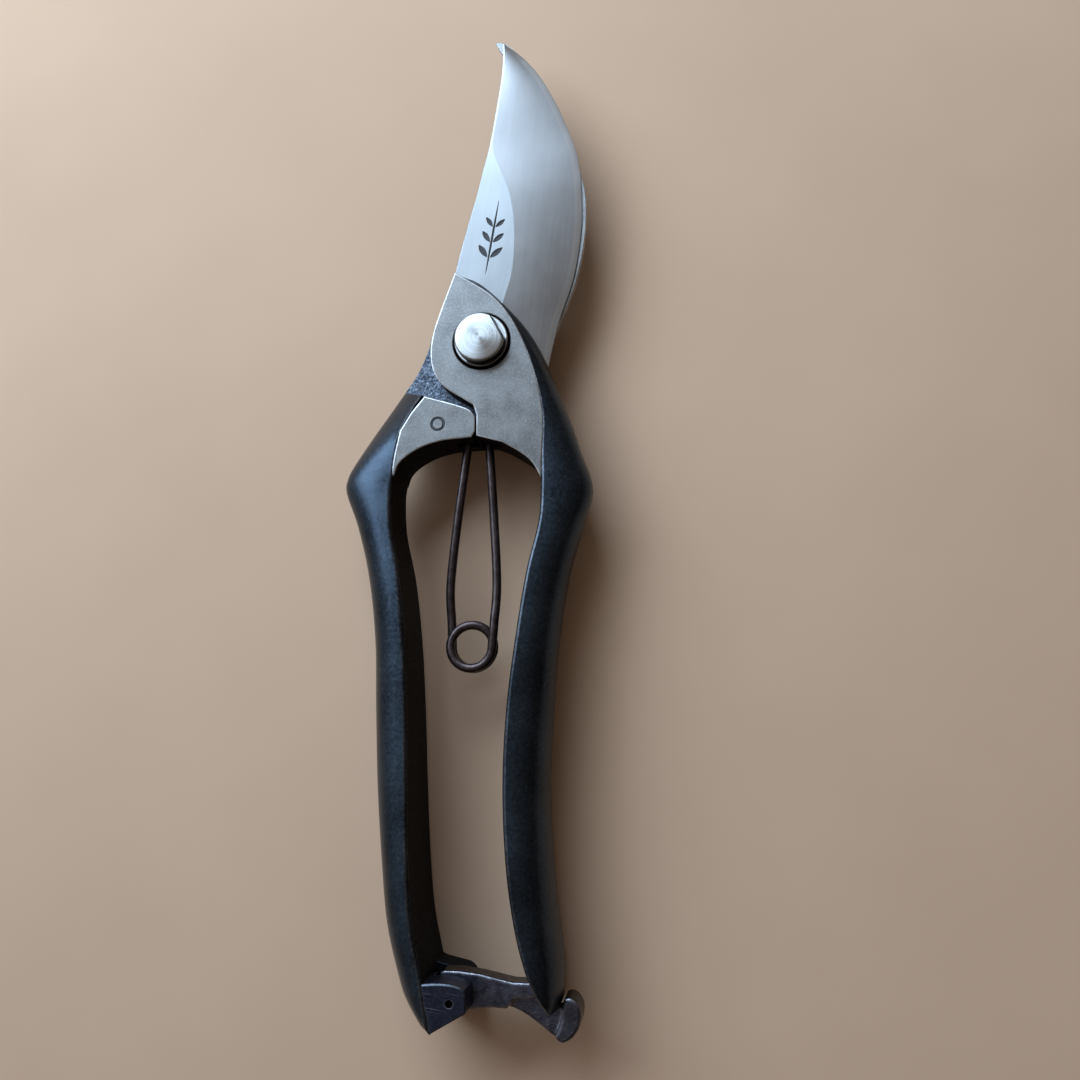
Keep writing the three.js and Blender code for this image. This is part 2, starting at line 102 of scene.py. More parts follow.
SHANK_RADIUS = 3.5
SHANK_FINISH_TOP = 10.0
THREAD_RADIUS = 3.0
FLANGE_RADIUS = 5.4
FLANGE_TOP = 16.5
HEAD_RADIUS = 5.0
HEAD_FILLET = 0.5
HEAD_CROWN = 0.2
RECESS_RADIUS = 5.85
RECESS_FLOOR = 13.6
RECESS_RIM = 0.16
HEAD_FLAT = 3.85  # from the axis to the top of the flat on the head
HEAD_FLAT_LEAN = 0.5  # how much further out its foot is
HEAD_FLAT_ANGLE = 28  # degrees
NUT_ACROSS_FLATS = 12.0
NUT_CHAMFER = 0.5
WASHER_RADIUS = 6.6
BACK_RECESS_RADIUS = 7.0
BACK_RECESS_CEILING = 5.4

WIRE_RADIUS = 0.9
WIRE_SIDES = 20
WIRE_ROUNDING = 0.25
COIL_X, COIL_Y, COIL_RADIUS = -2.5, -60.5, 4.25
COIL_PITCH = 1.95
COIL_TURNS = 1.5
COIL_STEPS = 108
LEG_STEPS = 80
BOW_LEFT_X, BOW_RIGHT_X = -7.1, 2.5
SEAT_Y = -19.9
SEAT_LEFT_X, SEAT_RIGHT_X = -3.6, 0.6
SEAT_RADIUS = 2.3
SEAT_HALF_HEIGHT = 1.7
SPRING_END_DEPTH = 0.7

LATCH_PIN_X, LATCH_PIN_Y = -4.2, -125.0
LATCH_PIN_RADIUS = 1.2
PUNCH_HOLE_RADIUS = 0.72  # in the front lug, for driving the pin out
STRAP_BOTTOM, STRAP_TOP = 7.5, 12.5
ARM_TOP = 10.6
BACK_LUG_TOP = STRAP_BOTTOM - CLEARANCE - 0.05
NOTCH_Y = -126.25
CHEEK_BOTTOM, CHEEK_TOP = 0.0, 19.6

# -------- meshes

FINISH_COUNT = 11
# WALL marks walls and hollows; on the forgings, the bolt and the pin its material is painted nearly black as
# painted shade.
GROUND, FLAT, BEVEL, EDGE, OXIDE, WALL, HAMMERED, WORN, BRIGHT, FILED, MARK = range(FINISH_COUNT)


def spline(points, steps):
    """Rows of a uniform Catmull-Rom curve through rows of numbers."""
    p = np.array(points, float)
    last = len(p) - 1
    t = np.linspace(0, last, steps + 1)
    i = np.minimum(t.astype(int), last - 1)
    w = (t - i)[:, None]
    before, here, there, after = p[np.maximum(i - 1, 0)], p[i], p[i + 1], p[np.minimum(i + 2, last)]
    leave = (there - before) / 2
    arrive = (after - here) / 2
    cubic = 2 * here - 2 * there + leave + arrive
    square = 3 * there - 3 * here - 2 * leave - arrive
    return ((cubic * w + square) * w + leave) * w + here


def arc(x, y, radius, start, end, steps):
    """Points of an arc, its angles in degrees."""
    angle = np.radians(np.linspace(start, end, steps + 1))
    return np.stack([x + radius * np.cos(angle), y + radius * np.sin(angle)], 1)


def direction(angle):
    """The unit vector at an angle in degrees."""
    return np.array([math.cos(math.radians(angle)), math.sin(math.radians(angle))])


def circle(x, y, radius):
    return arc(x, y, radius, 0, 360 - 360 / ROUND_STEPS, ROUND_STEPS - 1)


def outline(*stretches):
    """One closed outline from stretches of points, without repeated points."""
    points = np.concatenate([np.array(s, float) for s in stretches])
    gap = np.linalg.norm(points - np.roll(points, 1, 0), axis=1)
    return points[gap > 1e-4]


def inset(points, distance):
    """A closed outline moved inwards."""
    area = np.sum(points[:, 0] * np.roll(points[:, 1], -1) - points[:, 1] * np.roll(points[:, 0], -1))
    ahead = np.roll(points, -1, 0) - points
    ahead /= np.linalg.norm(ahead, axis=1)[:, None]
    normal = np.stack([-ahead[:, 1], ahead[:, 0]], 1) * math.copysign(1, area)
    both = normal + np.roll(normal, 1, 0)
    return points + distance * 2 * both / np.maximum(np.sum(both * both, 1), 1.0)[:, None]


def at_height(points, z):
    return np.column_stack([points, np.full(len(points), z)])


def make_object(name, data):
    made = bpy.data.objects.new(name, data)
    bpy.context.scene.collection.objects.link(made)
    return made


@contextmanager
def edited(mesh):
    """Opens a mesh's faces and edges for changes, and writes them back afterwards."""
    build = bmesh.new()
    build.from_mesh(mesh)
    yield build
    build.to_mesh(mesh)
    build.free()


def apply_modifiers(piece):
    graph = bpy.context.evaluated_depsgraph_get()
    shape = bpy.data.meshes.new_from_object(piece.evaluated_get(graph))
    piece.modifiers.clear()
    piece.data = shape


def solid(name, verts, faces, finishes):
    """A closed mesh from corners in millimetres, its faces turned outwards."""
    mesh = bpy.data.meshes.new(name)
    mesh.from_pydata([tuple(v) for v in np.array(verts) * MM], [], faces)
    mesh.polygons.foreach_set("material_index", finishes)
    with edited(mesh) as build:
        bmesh.ops.remove_doubles(build, verts=build.verts, dist=1e-7)
        bmesh.ops.recalc_face_normals(build, faces=build.faces)
    return make_object(name, mesh)


def loft(name, rings, bands, caps=GROUND):
    """A solid skinned over closed rings. bands holds a finish for each ring gap and ring segment, and
    caps one for each end. A single finish stands for all."""
    rings = np.array(rings, float)
    count, around = rings.shape[:2]
    faces = []
    for low in range(0, (count - 1) * around, around):
        for j in range(around):
            after = (j + 1) % around
            faces.append((low + j, low + after, low + around + after, low + around + j))
    faces.append(tuple(range(around - 1, -1, -1)))
    faces.append(tuple((count - 1) * around + j for j in range(around)))
    finishes = [*np.broadcast_to(bands, (count - 1, around)).ravel(), *np.broadcast_to(caps, 2)]
    return solid(name, rings.reshape(-1, 3), faces, finishes)


def slab(name, points, low, high, rims=(0.0, 0.0), wall=WALL, caps=GROUND, rim=BRIGHT):
    """A flat-sided solid with an outline, and broken edges of the given widths at the bottom and top."""
    rings = []
    bands = []
    if rims[0] > 0:
        rings.append(at_height(inset(points, rims[0]), low))
        bands.append(rim)
    rings.append(at_height(points, low + rims[0] * RIM_SLOPE))
    rings.append(at_height(points, high - rims[1] * RIM_SLOPE))
    bands.append(wall)
    if rims[1] > 0:
        rings.append(at_height(inset(points, rims[1]), high))
        bands.append(rim)
    return loft(name, rings, np.array(bands)[:, None], caps)


def disc(name, x, y, radius, low, high, rims=(0.0, 0.0), wall=WALL, caps=WALL):
    return slab(name, circle(x, y, radius), low, high, rims, wall, caps)


def flared(name, radius, top, rim):
    """A cutter that breaks the edge of a round hole on the pivot axis."""
    rings = [at_height(circle(0, 0, radius + extra), top + extra - rim) for extra in (0.0, 3 * rim)]
    return loft(name, rings, BRIGHT, WALL)


def lathe(name, profile, bands):
    """A solid turned about the pivot axis from radius and height pairs that start and end on the axis."""
    verts = []
    faces = []
    finishes = []
    rings = []
    for radius, z in profile:
        if radius == 0:
            rings.append([len(verts)] * ROUND_STEPS)
            verts.append((0, 0, z))
            continue
        rings.append(range(len(verts), len(verts) + ROUND_STEPS))
        verts += at_height(circle(0, 0, radius), z).tolist()
    for lower, upper, finish in zip(rings, rings[1:], bands):
        for j in range(ROUND_STEPS):
            after = (j + 1) % ROUND_STEPS
            faces.append(tuple(dict.fromkeys((lower[j], lower[after], upper[after], upper[j]))))
            finishes.append(finish)
    return solid(name, verts, faces, finishes)


def combined(operation, base, tools):
    """base joined with the tools, or cut by them. The tools are used up."""
    for tool in tools:
        step = base.modifiers.new("boolean", "BOOLEAN")
        step.operation = operation
        step.solver = "MANIFOLD"
        step.material_mode = "INDEX"
        step.object = tool
    apply_modifiers(base)
    for tool in tools:
        bpy.data.objects.remove(tool)
    with edited(base.data) as build:
        bmesh.ops.dissolve_degenerate(build, edges=build.edges, dist=SLIVER * MM)
    return base


def joined(base, *tools):
    return combined("UNION", base, tools)


def cut(base, *tools):
    return combined("DIFFERENCE", base, tools)


def sharpen_borders(mesh, angle=math.radians(3)):
    """Keeps the line crisp where two finishes meet at an angle."""
    with edited(mesh) as build:
        for edge in build.edges:
            if len(edge.link_faces) == 2 and edge.calc_face_angle() > angle:
                if edge.link_faces[0].material_index != edge.link_faces[1].material_index:
                    edge.smooth = False


def finished(piece, name, body, node, finishes, sharp=32):
    """Names a piece, gives it its materials and normals, and puts it in the place of its CAD node."""
    mesh = piece.data
    piece.name = name
    mesh.name = name
    used = sorted({p.material_index for p in mesh.polygons})
    indices = [used.index(p.material_index) for p in mesh.polygons]
    mesh.materials.clear()
    for index in used:
        mesh.materials.append(finishes[index])
    mesh.polygons.foreach_set("material_index", indices)
    mesh.shade_smooth()
    mesh.set_sharp_from_angle(angle=math.radians(sharp))
    sharpen_borders(mesh)
    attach(piece, body)
    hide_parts(node)
    return piece


# -------- material nodes


class Nodes:
    """A node tree, with a short call for each kind of shader node."""

    def __init__(self, tree):
        self.tree = tree

    def add(self, kind, inputs=None, **settings):
        made = self.tree.nodes.new("ShaderNode" + kind)
        for key, value in settings.items():
            setattr(made, key, value)
        for key, value in (inputs or {}).items():
            if isinstance(value, bpy.types.NodeSocket):
                self.tree.links.new(value, made.inputs[key])
            else:
                made.inputs[key].default_value = value
        return made

    def span(self, value, low, high, to_low=0.0, to_high=1.0):
        inputs = {"Value": value, "From Min": low, "From Max": high, "To Min": to_low, "To Max": to_high}
        return self.add("MapRange", inputs).outputs["Result"]

    def maths(self, operation, a, b):
        return self.add("Math", {0: a, 1: b}, operation=operation).outputs[0]

    def dot(self, a, b):
        return self.add("VectorMath", {0: a, 1: b}, operation="DOT_PRODUCT").outputs["Value"]

    def plus(self, a, b):
        return self.maths("ADD", a, b)

    def times(self, a, b):
        return self.maths("MULTIPLY", a, b)

    def weighted(self, a, share, b, other):
        """A share of a plus another share of b."""
        return self.plus(self.times(a, share), self.times(b, other))

    def mix(self, share, a, b):
        a, b = [(*colour, 1) if isinstance(colour, tuple) else colour for colour in (a, b)]
        return self.add("Mix", {"Factor": share, 6: a, 7: b}, data_type="RGBA").outputs[2]


class Finish(Nodes):
    """A material's nodes. Its textures are in millimetres."""

    def __init__(self, name, **constants):
        self.material = bpy.data.materials.new(name)
        self.material.use_nodes = True
        super().__init__(self.material.node_tree)
        self.shader = self.tree.nodes["Principled BSDF"]
        for socket, value in constants.items():
            self.shader.inputs[socket.replace("_", " ")].default_value = value
        self.place = self.add("TexCoord").outputs["Object"]

    def grain(self, angle=0.0, along=1.0, across=1.0, depth=1.0):
        """Texture space turned by an angle in degrees about z, with its own frequency each way."""
        turn = (0, 0, math.radians(-angle))
        turned = self.add("Mapping", {"Vector": self.place, "Rotation": turn}).outputs[0]
        scale = (along / MM, across / MM, depth / MM)
        return self.add("VectorMath", {0: turned, 1: scale}, operation="MULTIPLY").outputs[0]

    def noise(self, vector, scale=1.0, detail=4.0, roughness=0.55):
        inputs = {"Vector": vector, "Scale": scale, "Detail": detail, "Roughness": roughness}
        return self.add("TexNoise", inputs).outputs["Fac"]

    def lines(self, angle, along, across, depth=1.0, **settings):
        """Noise drawn out along an angle."""
        return self.noise(self.grain(angle, along, across, depth), **settings)

    def cloud(self, size, **settings):
        """Noise that is the same in all directions, by its frequency."""
        return self.noise(self.grain(0, size, size, size), **settings)

    def cells(self, vector):
        inputs = {"Vector": vector, "Scale": 1.0, "Smoothness": 0.6}
        return self.add("TexVoronoi", inputs, feature="SMOOTH_F1").outputs["Distance"]

    def rounded(self, radius=0.16, samples=4):
        return self.add("Bevel", {"Radius": radius * MM}, samples=samples).outputs["Normal"]

    def wear(self, radius=0.45):
        """Near 1 along edges and 0 on open surfaces."""
        flat = self.add("NewGeometry").outputs["Normal"]
        return self.span(self.dot(self.rounded(radius, 6), flat), 0.999, 0.93)

    def bump(self, height, depth, strength=1.0, normal=None):
        """depth is in millimetres."""
        inputs = {"Height": height, "Distance": depth * MM, "Strength": strength}
        if normal is not None:
            inputs["Normal"] = normal
        return self.add("Bump", inputs).outputs["Normal"]

    def finish(self, colour=None, roughness=None, normal=None):
        for socket, value in (("Base Color", colour), ("Roughness", roughness), ("Normal", normal)):
            if value is not None:
                self.tree.links.new(value, self.shader.inputs[socket])
        return self.material


def shade(colour, factor):
    return tuple(min(1, factor * part) for part in colour)


def ground_steel(name, light, dark, angle, roughness):
    """Satin ground steel: fine short grinding lines, small specks and a few fine scratches."""
    n = Finish(name, Metallic=1.0)
    lines = n.lines(angle, 0.3, 7.0, detail=5, roughness=0.7)
    crossing = n.lines(angle + 34, 0.4, 5.0, detail=3, roughness=0.6)
    specks = n.cloud(2.6, roughness=0.7)
    clouds = n.cloud(0.25, detail=5, roughness=0.6)
    scratches = n.span(n.lines(angle - 13, 0.4, 4.6, detail=2, roughness=0.4), 0.68, 0.74)
    both = n.weighted(lines, 0.6, crossing, 0.4)
    colour = n.mix(n.span(clouds, 0.34, 0.66), dark, light)
    colour = n.mix(n.span(specks, 0.5, 0.72, 0, 0.7), colour, shade(light, 1.45))
    colour = n.mix(n.span(specks, 0.46, 0.3, 0, 0.45), colour, shade(dark, 0.55))
    colour = n.mix(n.times(scratches, 0.3), colour, shade(light, 1.5))
    fine = n.span(both, 0.3, 0.7, roughness - 0.05, roughness + 0.06)
    rough = n.plus(fine, n.span(clouds, 0.3, 0.7, -0.03, 0.03))
    height = n.weighted(both, 1.0, scratches, -0.4)
    return n.finish(colour, rough, n.bump(height, 0.008, 0.6, n.rounded()))


def blade_steel(name, light, dark, angle, roughness):
    """Finer and smoother than the ground faces, with faint streaks across the blade."""
    n = Finish(name, Metallic=1.0)
    lines = n.lines(angle, 0.06, 6.0, roughness=0.65)
    streaks = n.lines(angle, 0.03, 0.9, roughness=0.6)
    clouds = n.cloud(0.1, roughness=0.6)
    tone = n.weighted(streaks, 0.4, clouds, 0.6)
    colour = n.mix(n.span(tone, 0.3, 0.7), dark, light)
    fine = n.span(lines, 0.3, 0.7, roughness - 0.03, roughness + 0.04)
    rough = n.plus(fine, n.span(clouds, 0.35, 0.65, -0.02, 0.02))
    return n.finish(colour, rough, n.bump(lines, 0.0015, 0.4, n.rounded()))


def black_oxide(name, light, dark, roughness, relief, wear=0.0):
    """Blue-black oxide on forged steel: uneven skin, fine handling scratches and rubbed edges."""
    n = Finish(name, Metallic=0.92, Coat_Weight=0.06, Coat_Roughness=0.35)
    skin = n.cloud(1.6, detail=6, roughness=0.65)
    broad = n.cloud(0.1, roughness=0.6)
    fine = n.cloud(7.0, detail=3, roughness=0.6)
    scratches = n.span(n.lines(66, 0.5, 9.0, 2.0, detail=2, roughness=0.4), 0.7, 0.78, 0, 0.5)
    colour = n.mix(n.span(n.weighted(broad, 0.5, skin, 0.5), 0.36, 0.64), dark, light)
    rubbed = n.maths("MAXIMUM", n.span(fine, 0.66, 0.76, 0, 0.5), scratches)
    if wear > 0:
        patchy = n.times(n.span(skin, 0.4, 0.62, 0.1, 1.0), n.span(broad, 0.42, 0.58, 0.25, 1.0))
        rubbed = n.maths("MAXIMUM", rubbed, n.times(n.times(n.wear(), patchy), wear))
    colour = n.mix(rubbed, colour, (0.2, 0.24, 0.3))
    uneven = n.span(skin, 0.3, 0.7, roughness - 0.06, roughness + 0.07)
    rough = n.plus(uneven, n.span(broad, 0.35, 0.65, -0.03, 0.03))
    height = n.plus(n.weighted(skin, 0.7, fine, 0.3), n.times(scratches, -0.25))
    return n.finish(colour, rough, n.bump(height, relief, 0.5, n.rounded(0.25)))


def oxide_in_painted_shade(name):
    """Dull black scale on walls that no hand rubs, darkened almost to black as painted shade."""
    n = Finish(name, Metallic=0.0, Specular_IOR_Level=0.12)
    skin = n.cloud(1.4, detail=6, roughness=0.65)
    tone = n.weighted(skin, 0.6, n.lines(0, 2.0, 2.0, 0.2, detail=3), 0.4)
    # Nearly black colour: painted shade standing in for the walls' own shade.
    colour = n.mix(n.span(tone, 0.36, 0.66), (0.002, 0.002, 0.003), (0.006, 0.006, 0.008))
    return n.finish(colour, n.span(skin, 0.3, 0.7, 0.55, 0.75), n.bump(tone, 0.06, 0.6))


def hammered_oxide(name):
    """The recess's floor, left as forged: small dents that catch the light."""
    n = Finish(name, Metallic=0.9)
    skin = n.cloud(3.0, detail=5, roughness=0.65)
    colour = n.mix(n.span(skin, 0.4, 0.66), (0.02, 0.027, 0.04), (0.165, 0.205, 0.265))
    height = n.weighted(n.cells(n.grain(0, 1.5, 1.5, 1.5)), 0.7, skin, 0.5)
    return n.finish(colour, n.span(skin, 0.3, 0.7, 0.34, 0.52), n.bump(height, 0.13, 0.7))


def filed_oxide(name):
    """Dark oxide over coarse file marks that run across the lugs."""
    n = Finish(name, Metallic=0.85)
    marks = n.lines(-8, 0.12, 3.4, roughness=0.6)
    skin = n.cloud(1.5)
    bare = n.maths("MAXIMUM", n.span(marks, 0.6, 0.72, 0, 0.6), n.times(n.wear(0.3), 0.5))
    colour = n.mix(n.span(skin, 0.35, 0.65), (0.018, 0.021, 0.037), (0.033, 0.04, 0.07))
    colour = n.mix(bare, colour, (0.25, 0.27, 0.32))
    rough = n.span(marks, 0.3, 0.7, 0.32, 0.5)
    return n.finish(colour, rough, n.bump(marks, 0.05, 0.7, n.rounded()))


def etched_mark(name):
    """The floor of the engraving: dark and slightly uneven."""
    n = Finish(name, Metallic=0.3)
    skin = n.cloud(4.0)
    colour = n.mix(skin, (0.012, 0.014, 0.018), (0.05, 0.055, 0.065))
    return n.finish(colour, n.span(skin, 0.3, 0.7, 0.5, 0.7), n.bump(skin, 0.02))


def turned_steel(name, light, dark, roughness):
    """Bright turned steel with tool rings about the pivot axis, which draw its highlights into a fan."""
    n = Finish(name, Metallic=1.0, Anisotropic=0.8)
    around = n.add("Tangent", direction_type="RADIAL", axis="Z").outputs["Tangent"]
    n.tree.links.new(around, n.shader.inputs["Tangent"])
    x, y, z = n.add("SeparateXYZ", {"Vector": n.grain()}).outputs
    radius = n.maths("POWER", n.plus(n.times(x, x), n.times(y, y)), 0.5)
    along = n.add("CombineXYZ", {"X": radius, "Y": z}).outputs[0]
    rings = n.noise(along, scale=5.5, roughness=0.75)
    nicks = n.span(n.lines(30, 0.8, 5.0, 0.8, detail=2), 0.66, 0.72)
    colour = n.mix(n.span(rings, 0.36, 0.64), dark, light)
    ringed = n.span(rings, 0.3, 0.7, roughness - 0.06, roughness + 0.08)
    rough = n.plus(ringed, n.span(n.cloud(0.5), 0.3, 0.7, -0.04, 0.06))
    height = n.weighted(rings, 1.0, nicks, -0.3)
    return n.finish(colour, rough, n.bump(height, 0.014, 0.8, n.rounded(0.12)))


def plated_steel(name):
    """Dull zinc plating with small handling marks."""
    n = Finish(name, Metallic=1.0)
    skin = n.cloud(1.2, detail=5, roughness=0.6)
    fine = n.lines(40, 0.5, 5.0, 2.0, detail=3)
    colour = n.mix(n.span(skin, 0.35, 0.65), (0.36, 0.38, 0.39), (0.52, 0.53, 0.53))
    rough = n.plus(n.span(skin, 0.3, 0.7, 0.3, 0.44), n.span(fine, 0.3, 0.7, -0.03, 0.05))
    return n.finish(colour, rough, n.bump(n.plus(skin, fine), 0.012, 0.6, n.rounded()))


def spring_steel(name):
    """Oil-tempered wire: dark brown, drawn smooth, with faint lengthwise die lines."""
    n = Finish(name, Metallic=0.8, Coat_Weight=0.15, Coat_Roughness=0.25)
    skin = n.cloud(0.7, detail=5, roughness=0.6)
    lines = n.lines(0, 5.0, 0.12, 5.0, detail=3)
    colour = n.mix(n.span(skin, 0.35, 0.65), (0.028, 0.02, 0.021), (0.066, 0.048, 0.05))
    colour = n.mix(n.span(lines, 0.62, 0.75, 0, 0.4), colour, (0.16, 0.13, 0.12))
    rough = n.plus(n.span(skin, 0.3, 0.7, 0.3, 0.42), n.span(lines, 0.3, 0.7, -0.04, 0.04))
    return n.finish(colour, rough, n.bump(n.plus(skin, lines), 0.01, 0.6))


def latch_steel(name):
    """Forged plate in blue-grey oxide, rubbed bright along its edges, with its sides painted dark as painted
    shade.
    """
    n = Finish(name, Metallic=0.95, Coat_Weight=0.08, Coat_Roughness=0.3)
    skin = n.cloud(0.7, roughness=0.5)
    fine = n.lines(15, 0.8, 7.0, 4.0, detail=3)
    facing = n.add("TexCoord").outputs["Normal"]
    facing_up_for_painted_shade = n.add("SeparateXYZ", {"Vector": facing}).outputs["Z"]
    colour = n.mix(n.span(skin, 0.34, 0.66), (0.045, 0.05, 0.08), (0.094, 0.104, 0.152))
    rubbed = n.times(n.wear(0.6), n.span(skin, 0.35, 0.58, 0.45, 1.0))
    colour = n.mix(n.maths("MAXIMUM", rubbed, n.span(fine, 0.58, 0.74, 0, 0.25)), colour, (0.75, 0.76, 0.8))
    # Faces that turn away from up are painted dark: painted shade on the plate's sides.
    colour = n.mix(n.span(facing_up_for_painted_shade, 0.15, 0.75), (0.022, 0.019, 0.019), colour)
    height = n.plus(skin, n.times(fine, 0.3))
    return n.finish(colour, n.span(skin, 0.3, 0.7, 0.29, 0.42), n.bump(height, 0.02, 0.6, n.rounded(0.2)))


forged = [
    ground_steel("ground_steel", (0.215, 0.226, 0.234), (0.168, 0.177, 0.184), 52, 0.38),
    blade_steel("blade_flat_steel", (0.29, 0.316, 0.338), (0.25, 0.274, 0.294), 78, 0.35),
    blade_steel("blade_bevel_steel", (0.415, 0.44, 0.468), (0.355, 0.38, 0.408), 84, 0.4),
    blade_steel("blade_edge_steel", (0.48, 0.495, 0.51), (0.41, 0.425, 0.44), 80, 0.4),
    black_oxide("forged_oxide", (0.036, 0.053, 0.075), (0.014, 0.021, 0.032), 0.34, 0.028, wear=0.5),
    # Walls: oxide painted nearly black as painted shade.
    oxide_in_painted_shade("oxide_in_painted_shade"),
    hammered_oxide("hammered_oxide"),
    black_oxide("rubbed_oxide", (0.09, 0.102, 0.122), (0.018, 0.024, 0.034), 0.34, 0.03, wear=0.7),
    ground_steel("broken_edge_steel", (0.56, 0.58, 0.6), (0.42, 0.435, 0.45), 60, 0.4),
    filed_oxide("filed_oxide"),
    etched_mark("etched_mark"),
]

# -------- handles


def handle_ring(station):
    """A D-shaped ring: a flat inner wall with rounded corners, and a crowned side for the hand."""
    inner, outer, half_depth, roundness = station[:2], station[2:4], station[4], station[5]
    width = np.linalg.norm(outer - inner)
    radius = min(CORNER_RADIUS, width / 4, half_depth / 4)
    corner = np.radians(np.linspace(0, 90, CORNER_STEPS + 1))
    out = radius * (1 - np.cos(corner))
    rise = half_depth - radius * (1 - np.sin(corner))
    start = np.arcsin((radius / width) ** (roundness / 2))
    sweep = np.linspace(math.pi / 2 - start, 0, SECTION_STEPS // 2 + 1)[1:]
    out = np.append(out, width * np.cos(sweep) ** (2 / roundness))
    rise = np.append(rise, half_depth * np.sin(sweep) ** (2 / roundness))
    out = np.append(out, out[-2::-1])
    rise = np.append(rise, -rise[-2::-1])
    share = (out / width)[:, None]
    return np.column_stack([inner * (1 - share) + outer * share, SPLIT_Z + rise])


def handle(name, stations, steps=HANDLE_STEPS):
    rings = [handle_ring(station) for station in spline(stations, steps)]
    segments = np.full(len(rings[0]), OXIDE)
    segments[:CORNER_STEPS] = WORN
    segments[-CORNER_STEPS - 1:] = WORN
    # The flat inner wall takes the oxide painted nearly black as painted shade.
    segments[-1] = WALL
    return loft(name, rings, segments, OXIDE)


# Stations run from the shoulder to the end: inner x, y, outer x, y, half depth, and the superellipse
# exponent of the outer side, 2 for an ellipse and more for a squarer section.
RIGHT_HANDLE = [
    (8.6, -2.4, 11.3, -1.1, 5.7, 2.2),
    (10.6, -8.7, 14.2, -7.9, 5.7, 2.2),
    (11.9, -15.6, 17.1, -15.3, 5.7, 2.2),
    (11.8, -22.5, 19.4, -22.3, 5.7, 2.3),
    (11.9, -29.6, 21.6, -29.7, 6.0, 2.4),
    (11.5, -36.8, 19.6, -37.2, 6.6, 2.4),
    (9.2, -46.8, 16.8, -47.3, 7.3, 2.4),
    (7.2, -59.5, 14.8, -59.8, 7.8, 2.4),
    (5.6, -73.0, 13.7, -73.2, 8.2, 2.4),
    (5.1, -87.0, 13.0, -87.0, 8.7, 2.4),
    (5.8, -100.3, 13.6, -101.0, 9.3, 2.4),
    (7.4, -111.2, 14.7, -111.8, 9.7, 2.4),
    (9.6, -119.4, 15.7, -119.8, 9.8, 2.4),
    (11.7, -124.2, 15.5, -124.8, 8.8, 2.4),
    (12.8, -126.2, 15.0, -126.4, 7.6, 2.4),
    (13.3, -127.0, 14.5, -127.15, 6.8, 2.2),
]
LEFT_HANDLE = [
    (-11.0, -9.9, -16.3, -7.4, 5.7, 1.2),
    (-14.0, -14.4, -20.1, -12.8, 5.7, 1.2),
    (-16.2, -18.6, -23.9, -18.2, 5.7, 1.35),
    (-17.2, -23.4, -27.2, -23.6, 5.75, 1.95),
    (-17.4, -26.2, -28.5, -26.6, 5.9, 2.3),
    (-17.9, -30.0, -28.5, -29.6, 6.1, 2.4),
    (-17.6, -37.2, -25.8, -36.8, 6.6, 2.4),
    (-15.7, -47.0, -23.2, -47.0, 7.3, 2.4),
    (-14.3, -59.5, -21.6, -59.5, 7.8, 2.4),
    (-13.5, -73.0, -21.1, -73.0, 8.2, 2.4),
    (-13.0, -87.0, -20.4, -87.0, 8.7, 2.4),
    (-12.4, -100.5, -19.2, -100.5, 9.3, 2.4),
    (-11.4, -111.5, -17.8, -112.0, 9.7, 2.4),
    (-9.3, -121.3, -15.5, -121.3, 9.85, 2.2),
    (-8.6, -125.4, -13.9, -125.5, 9.85, 2.1),
    (-7.9, -128.8, -11.3, -129.2, 9.8, 2.0),
    (-7.6, -129.7, -9.7, -130.3, 9.75, 1.9),
    (-7.45, -130.2, -8.2, -130.9, 9.7, 1.8),
]

# -------- outlines shared by the halves

# The stop shoulder's upper edge, from the outer side of the left handle to the stop face.
SHOULDER_EDGE = [(-17.4, -8.4), (-11.5, -10.9), (-5.6, -12.7), (-2.4, -14.0), (-1.2, -15.6)]

# The arch between the handles, from the stop plane outwards on each side.
LEFT_ARCH = [(-7.4, -20.0), (-11.0, -20.9), (-14.4, -22.6), (-16.6, -24.6), (-17.5, -27.0)]
RIGHT_ARCH = [(1.6, -19.7), (4.3, -20.8), (7.9, -23.0), (10.2, -25.0), (11.9, -28.0)]

# The boss's edge over the recess, from the blade down to the stop face.
BOSS_LEFT = [(-8.2, 7.6), (-9.9, 2.2), (-10.4, -2.4), (-9.6, -6.2), (-7.5, -9.1), (-3.8, -11.6),
             (-1.6, -13.0)]


def swing_room(name, edge, low, high):
    """Everything past a stop shoulder's edge that the other half's boss swings through."""
    side = math.copysign(1, edge[0][0])
    stop_x = edge[-1][0]
    points = outline(
        spline(edge, 40),
        [(stop_x, -FAR / 2), (-side * FAR, -FAR / 2), (-side * FAR, FAR * 2)],
        [(side * FAR, FAR * 2), (side * FAR, edge[0][1])],
    )
    return slab(name, points, low, high)


def spring_seat(x):
    return disc("seat", x, SEAT_Y, SEAT_RADIUS, SPLIT_Z - SEAT_HALF_HEIGHT, SPLIT_Z + SEAT_HALF_HEIGHT)


# -------- cutting half

